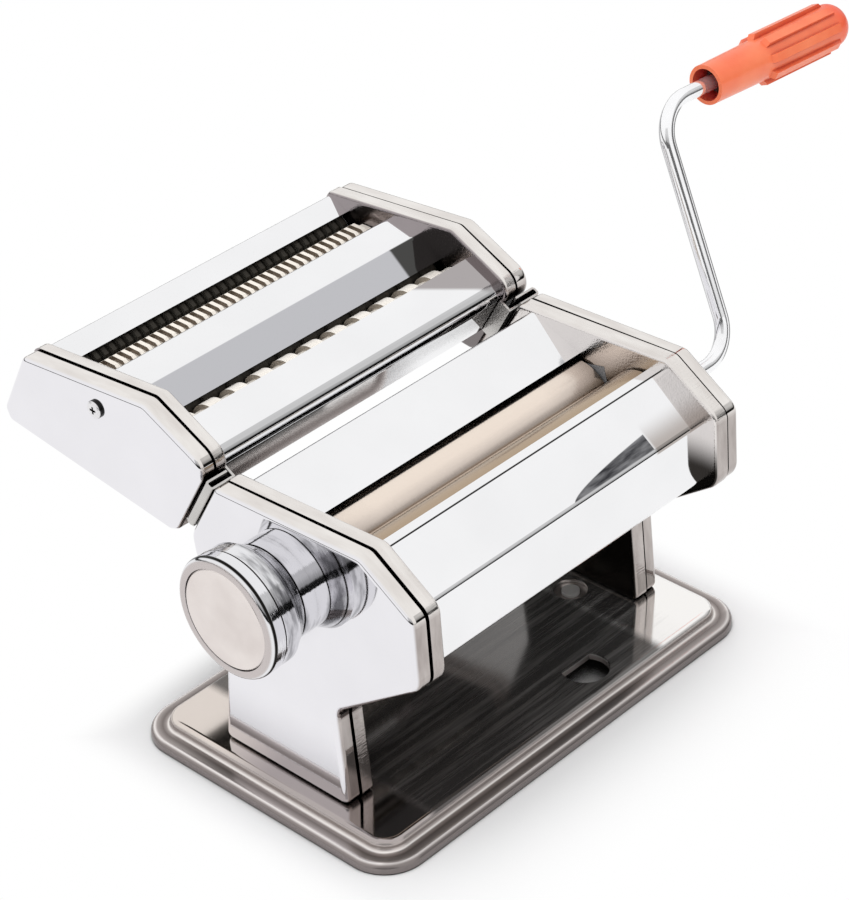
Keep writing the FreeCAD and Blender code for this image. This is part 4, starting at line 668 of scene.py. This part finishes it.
def cross_screws():
    (_, low_y, low_z), (outer, high_y, high_z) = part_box("head_screws")
    y, z, radius = (low_y + high_y) / 2, (low_z + high_z) / 2, (high_y - low_y) / 2
    bm = bmesh.new()
    for side in (-1, 1):
        screw_head(bm, side, outer, y, z, radius)
    bmesh.ops.recalc_face_normals(bm, faces=bm.faces)
    mesh = bpy.data.meshes.new("head_cross_screws")
    bm.to_mesh(mesh)
    bm.free()
    mesh.materials.append(screw_steel(y, z, radius))
    made = bpy.data.objects.new("head_cross_screws", mesh)
    bpy.context.collection.objects.link(made)
    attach(made, "head")
    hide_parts("head_screws")


# Studio

FLOOR_SIZE = 6.0
# How far from the tray's box the floor fades to white, and the share of that distance that counts in front
FADE_NEAR, FADE_FAR = 0.0, 0.022
FRONT_SHARE = 0.4
PAPER = (0.96, 0.96, 0.965)
ROOM_LIGHT = 0.8


def floor():
    """Pale floor that keeps the shadow near the machine, with a painted shadow under and round the tray, and
    turns plain white away from it.
    """
    mesh = bpy.data.meshes.new("studio_floor")
    half = FLOOR_SIZE / 2
    corners = [(-half, -half, 0), (half, -half, 0), (half, half, 0), (-half, half, 0)]
    mesh.from_pydata(corners, [], [(0, 1, 2, 3)])
    made = bpy.data.objects.new("studio_floor", mesh)
    bpy.context.collection.objects.link(made)
    f = finish("floor_white")
    (_, low_y, _), (high_x, high_y, _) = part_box("base_tray")
    side = f.part(f.place(), 0).math("ABSOLUTE") - high_x
    ahead = (low_y - f.part(f.place(), 1)) * FRONT_SHARE
    behind = f.part(f.place(), 1) - high_y
    away = side.math("MAXIMUM", ahead).math("MAXIMUM", behind).band(FADE_NEAR, FADE_FAR)
    path = f.node("LightPath")
    seen = (Value(f, path.outputs["Is Camera Ray"]) + Value(f, path.outputs["Is Glossy Ray"])).clear()
    # Painted shadow: the paper darkens under the tray and close round it
    shade = f.painted_hollow_shade(PAPER, low=0.3, high=0.7)
    paper = f.node("BsdfDiffuse", {}, {"Color": shade})
    white = f.node("Emission", {}, {"Color": (1, 1, 1), "Strength": 1.0})
    mixed = f.node("MixShader", {}, {0: seen * away, 1: paper.outputs[0], 2: white.outputs[0]})
    f.node("OutputMaterial", {}, {"Surface": mixed.outputs[0]})
    mesh.materials.append(f.owner)


# The room that the metal mirrors. Places are parts of a unit ray, and a pair gives where something starts
# and where it ends or is full
FRONT_Y, ASIDE_X = (-0.3, -0.15), (0.36, 0.5)
GAP_Z, GAP_DARK = (-0.06, 0.09), 0.95
FRONT_GAP_Z, FRONT_GAP_DARK = (-0.09, 0.2), 0.97
WALL_PALER_Z, WALL_ENDS_Z = (0.2, 0.5), (0.6, 0.645)
WALL_LOW_DARK, WALL_HIGH_DARK = 0.66, 0.36


def room_shade(f, where):
    """White, with a dark gap at the horizon, and in front at the sides a wider gap below grey walls."""
    right, back, height = (f.part(where, axis) for axis in range(3))
    front = 1 - back.band(*FRONT_Y)
    aside = front * right.math("ABSOLUTE").band(*ASIDE_X)
    gap = height.within(*GAP_Z, 0.03) * (1 - front * 0.7) * GAP_DARK
    front_gap = aside * height.within(*FRONT_GAP_Z, 0.04) * FRONT_GAP_DARK
    paler = height.band(*WALL_PALER_Z) * (WALL_LOW_DARK - WALL_HIGH_DARK)
    ended = height.band(*WALL_ENDS_Z) * WALL_HIGH_DARK
    front_wall = aside * (WALL_LOW_DARK - paler - ended)
    return ((1 - gap) * (1 - front_gap) * (1 - front_wall)).clear()


def studio_world():
    """White room. The camera sees it plain, metal sees its shade, and its light is even."""
    world = bpy.data.worlds.new("studio")
    bpy.context.scene.world = world
    f = Finish(world)
    shade = room_shade(f, f.node("TexCoord").outputs["Generated"])
    path = f.node("LightPath")
    glossy = Value(f, path.outputs["Is Glossy Ray"])
    camera = Value(f, path.outputs["Is Camera Ray"])
    strength = camera + (1 - camera) * (glossy * shade + (1 - glossy) * ROOM_LIGHT)
    light = f.node("Background", {}, {"Color": (1, 1, 1), "Strength": strength})
    f.node("OutputWorld", {}, {"Surface": light.outputs[0]})


LAMP_AIM = Vector((0, 0, 0.1))


def lamp(name, place, size, power):
    data = bpy.data.lights.new(name, "AREA")
    data.shape = "RECTANGLE"
    data.size, data.size_y = size
    data.energy = power
    made = bpy.data.objects.new(name, data)
    bpy.context.collection.objects.link(made)
    made.location = place
    made.rotation_euler = (LAMP_AIM - Vector(place)).to_track_quat("-Z", "Y").to_euler()
    made.visible_glossy = False


def lamps():
    lamp("lamp_top", (-0.15, -0.1, 1.3), size=(1.0, 1.0), power=5.0)
    lamp("lamp_left", (-1.1, -0.7, 0.8), size=(0.7, 0.7), power=2.0)
    lamp("lamp_back", (0.5, 1.1, 0.7), size=(0.8, 0.5), power=1.5)


# Camera at the photograph's place

CAMERA_TURN, CAMERA_RISE, CAMERA_ROLL = map(math.radians, (-45.2, 33.38, -3.06))
CAMERA_AWAY = 1.14859
CAMERA_AIM = Vector((0.01746, 0.02314, 0.08875))
CAMERA_LENS, CAMERA_SENSOR = 125.455, 36.0


def camera():
    data = bpy.data.cameras.new("camera")
    made = bpy.data.objects.new("camera", data)
    bpy.context.collection.objects.link(made)
    flat = Vector((math.cos(CAMERA_TURN), math.sin(CAMERA_TURN), 0))
    back = Vector((
        math.sin(CAMERA_TURN) * math.cos(CAMERA_RISE),
        -math.cos(CAMERA_TURN) * math.cos(CAMERA_RISE),
        math.sin(CAMERA_RISE),
    ))
    up = back.cross(flat)
    right = flat * math.cos(CAMERA_ROLL) + up * math.sin(CAMERA_ROLL)
    top = up * math.cos(CAMERA_ROLL) - flat * math.sin(CAMERA_ROLL)
    turned = Matrix((right, top, back)).transposed().to_4x4()
    made.matrix_world = Matrix.Translation(CAMERA_AIM + back * CAMERA_AWAY) @ turned
    data.sensor_fit = "HORIZONTAL"
    data.sensor_width = CAMERA_SENSOR
    data.lens = CAMERA_LENS
    data.clip_end = 20.0
    bpy.context.scene.camera = made


finish_sheets()
finish_plates()
finish_rollers()
finish_knob_and_crank()
finish_works()
cross_screws()
floor()
studio_world()
lamps()
camera()
bpy.context.scene.view_settings.view_transform = "Standard"
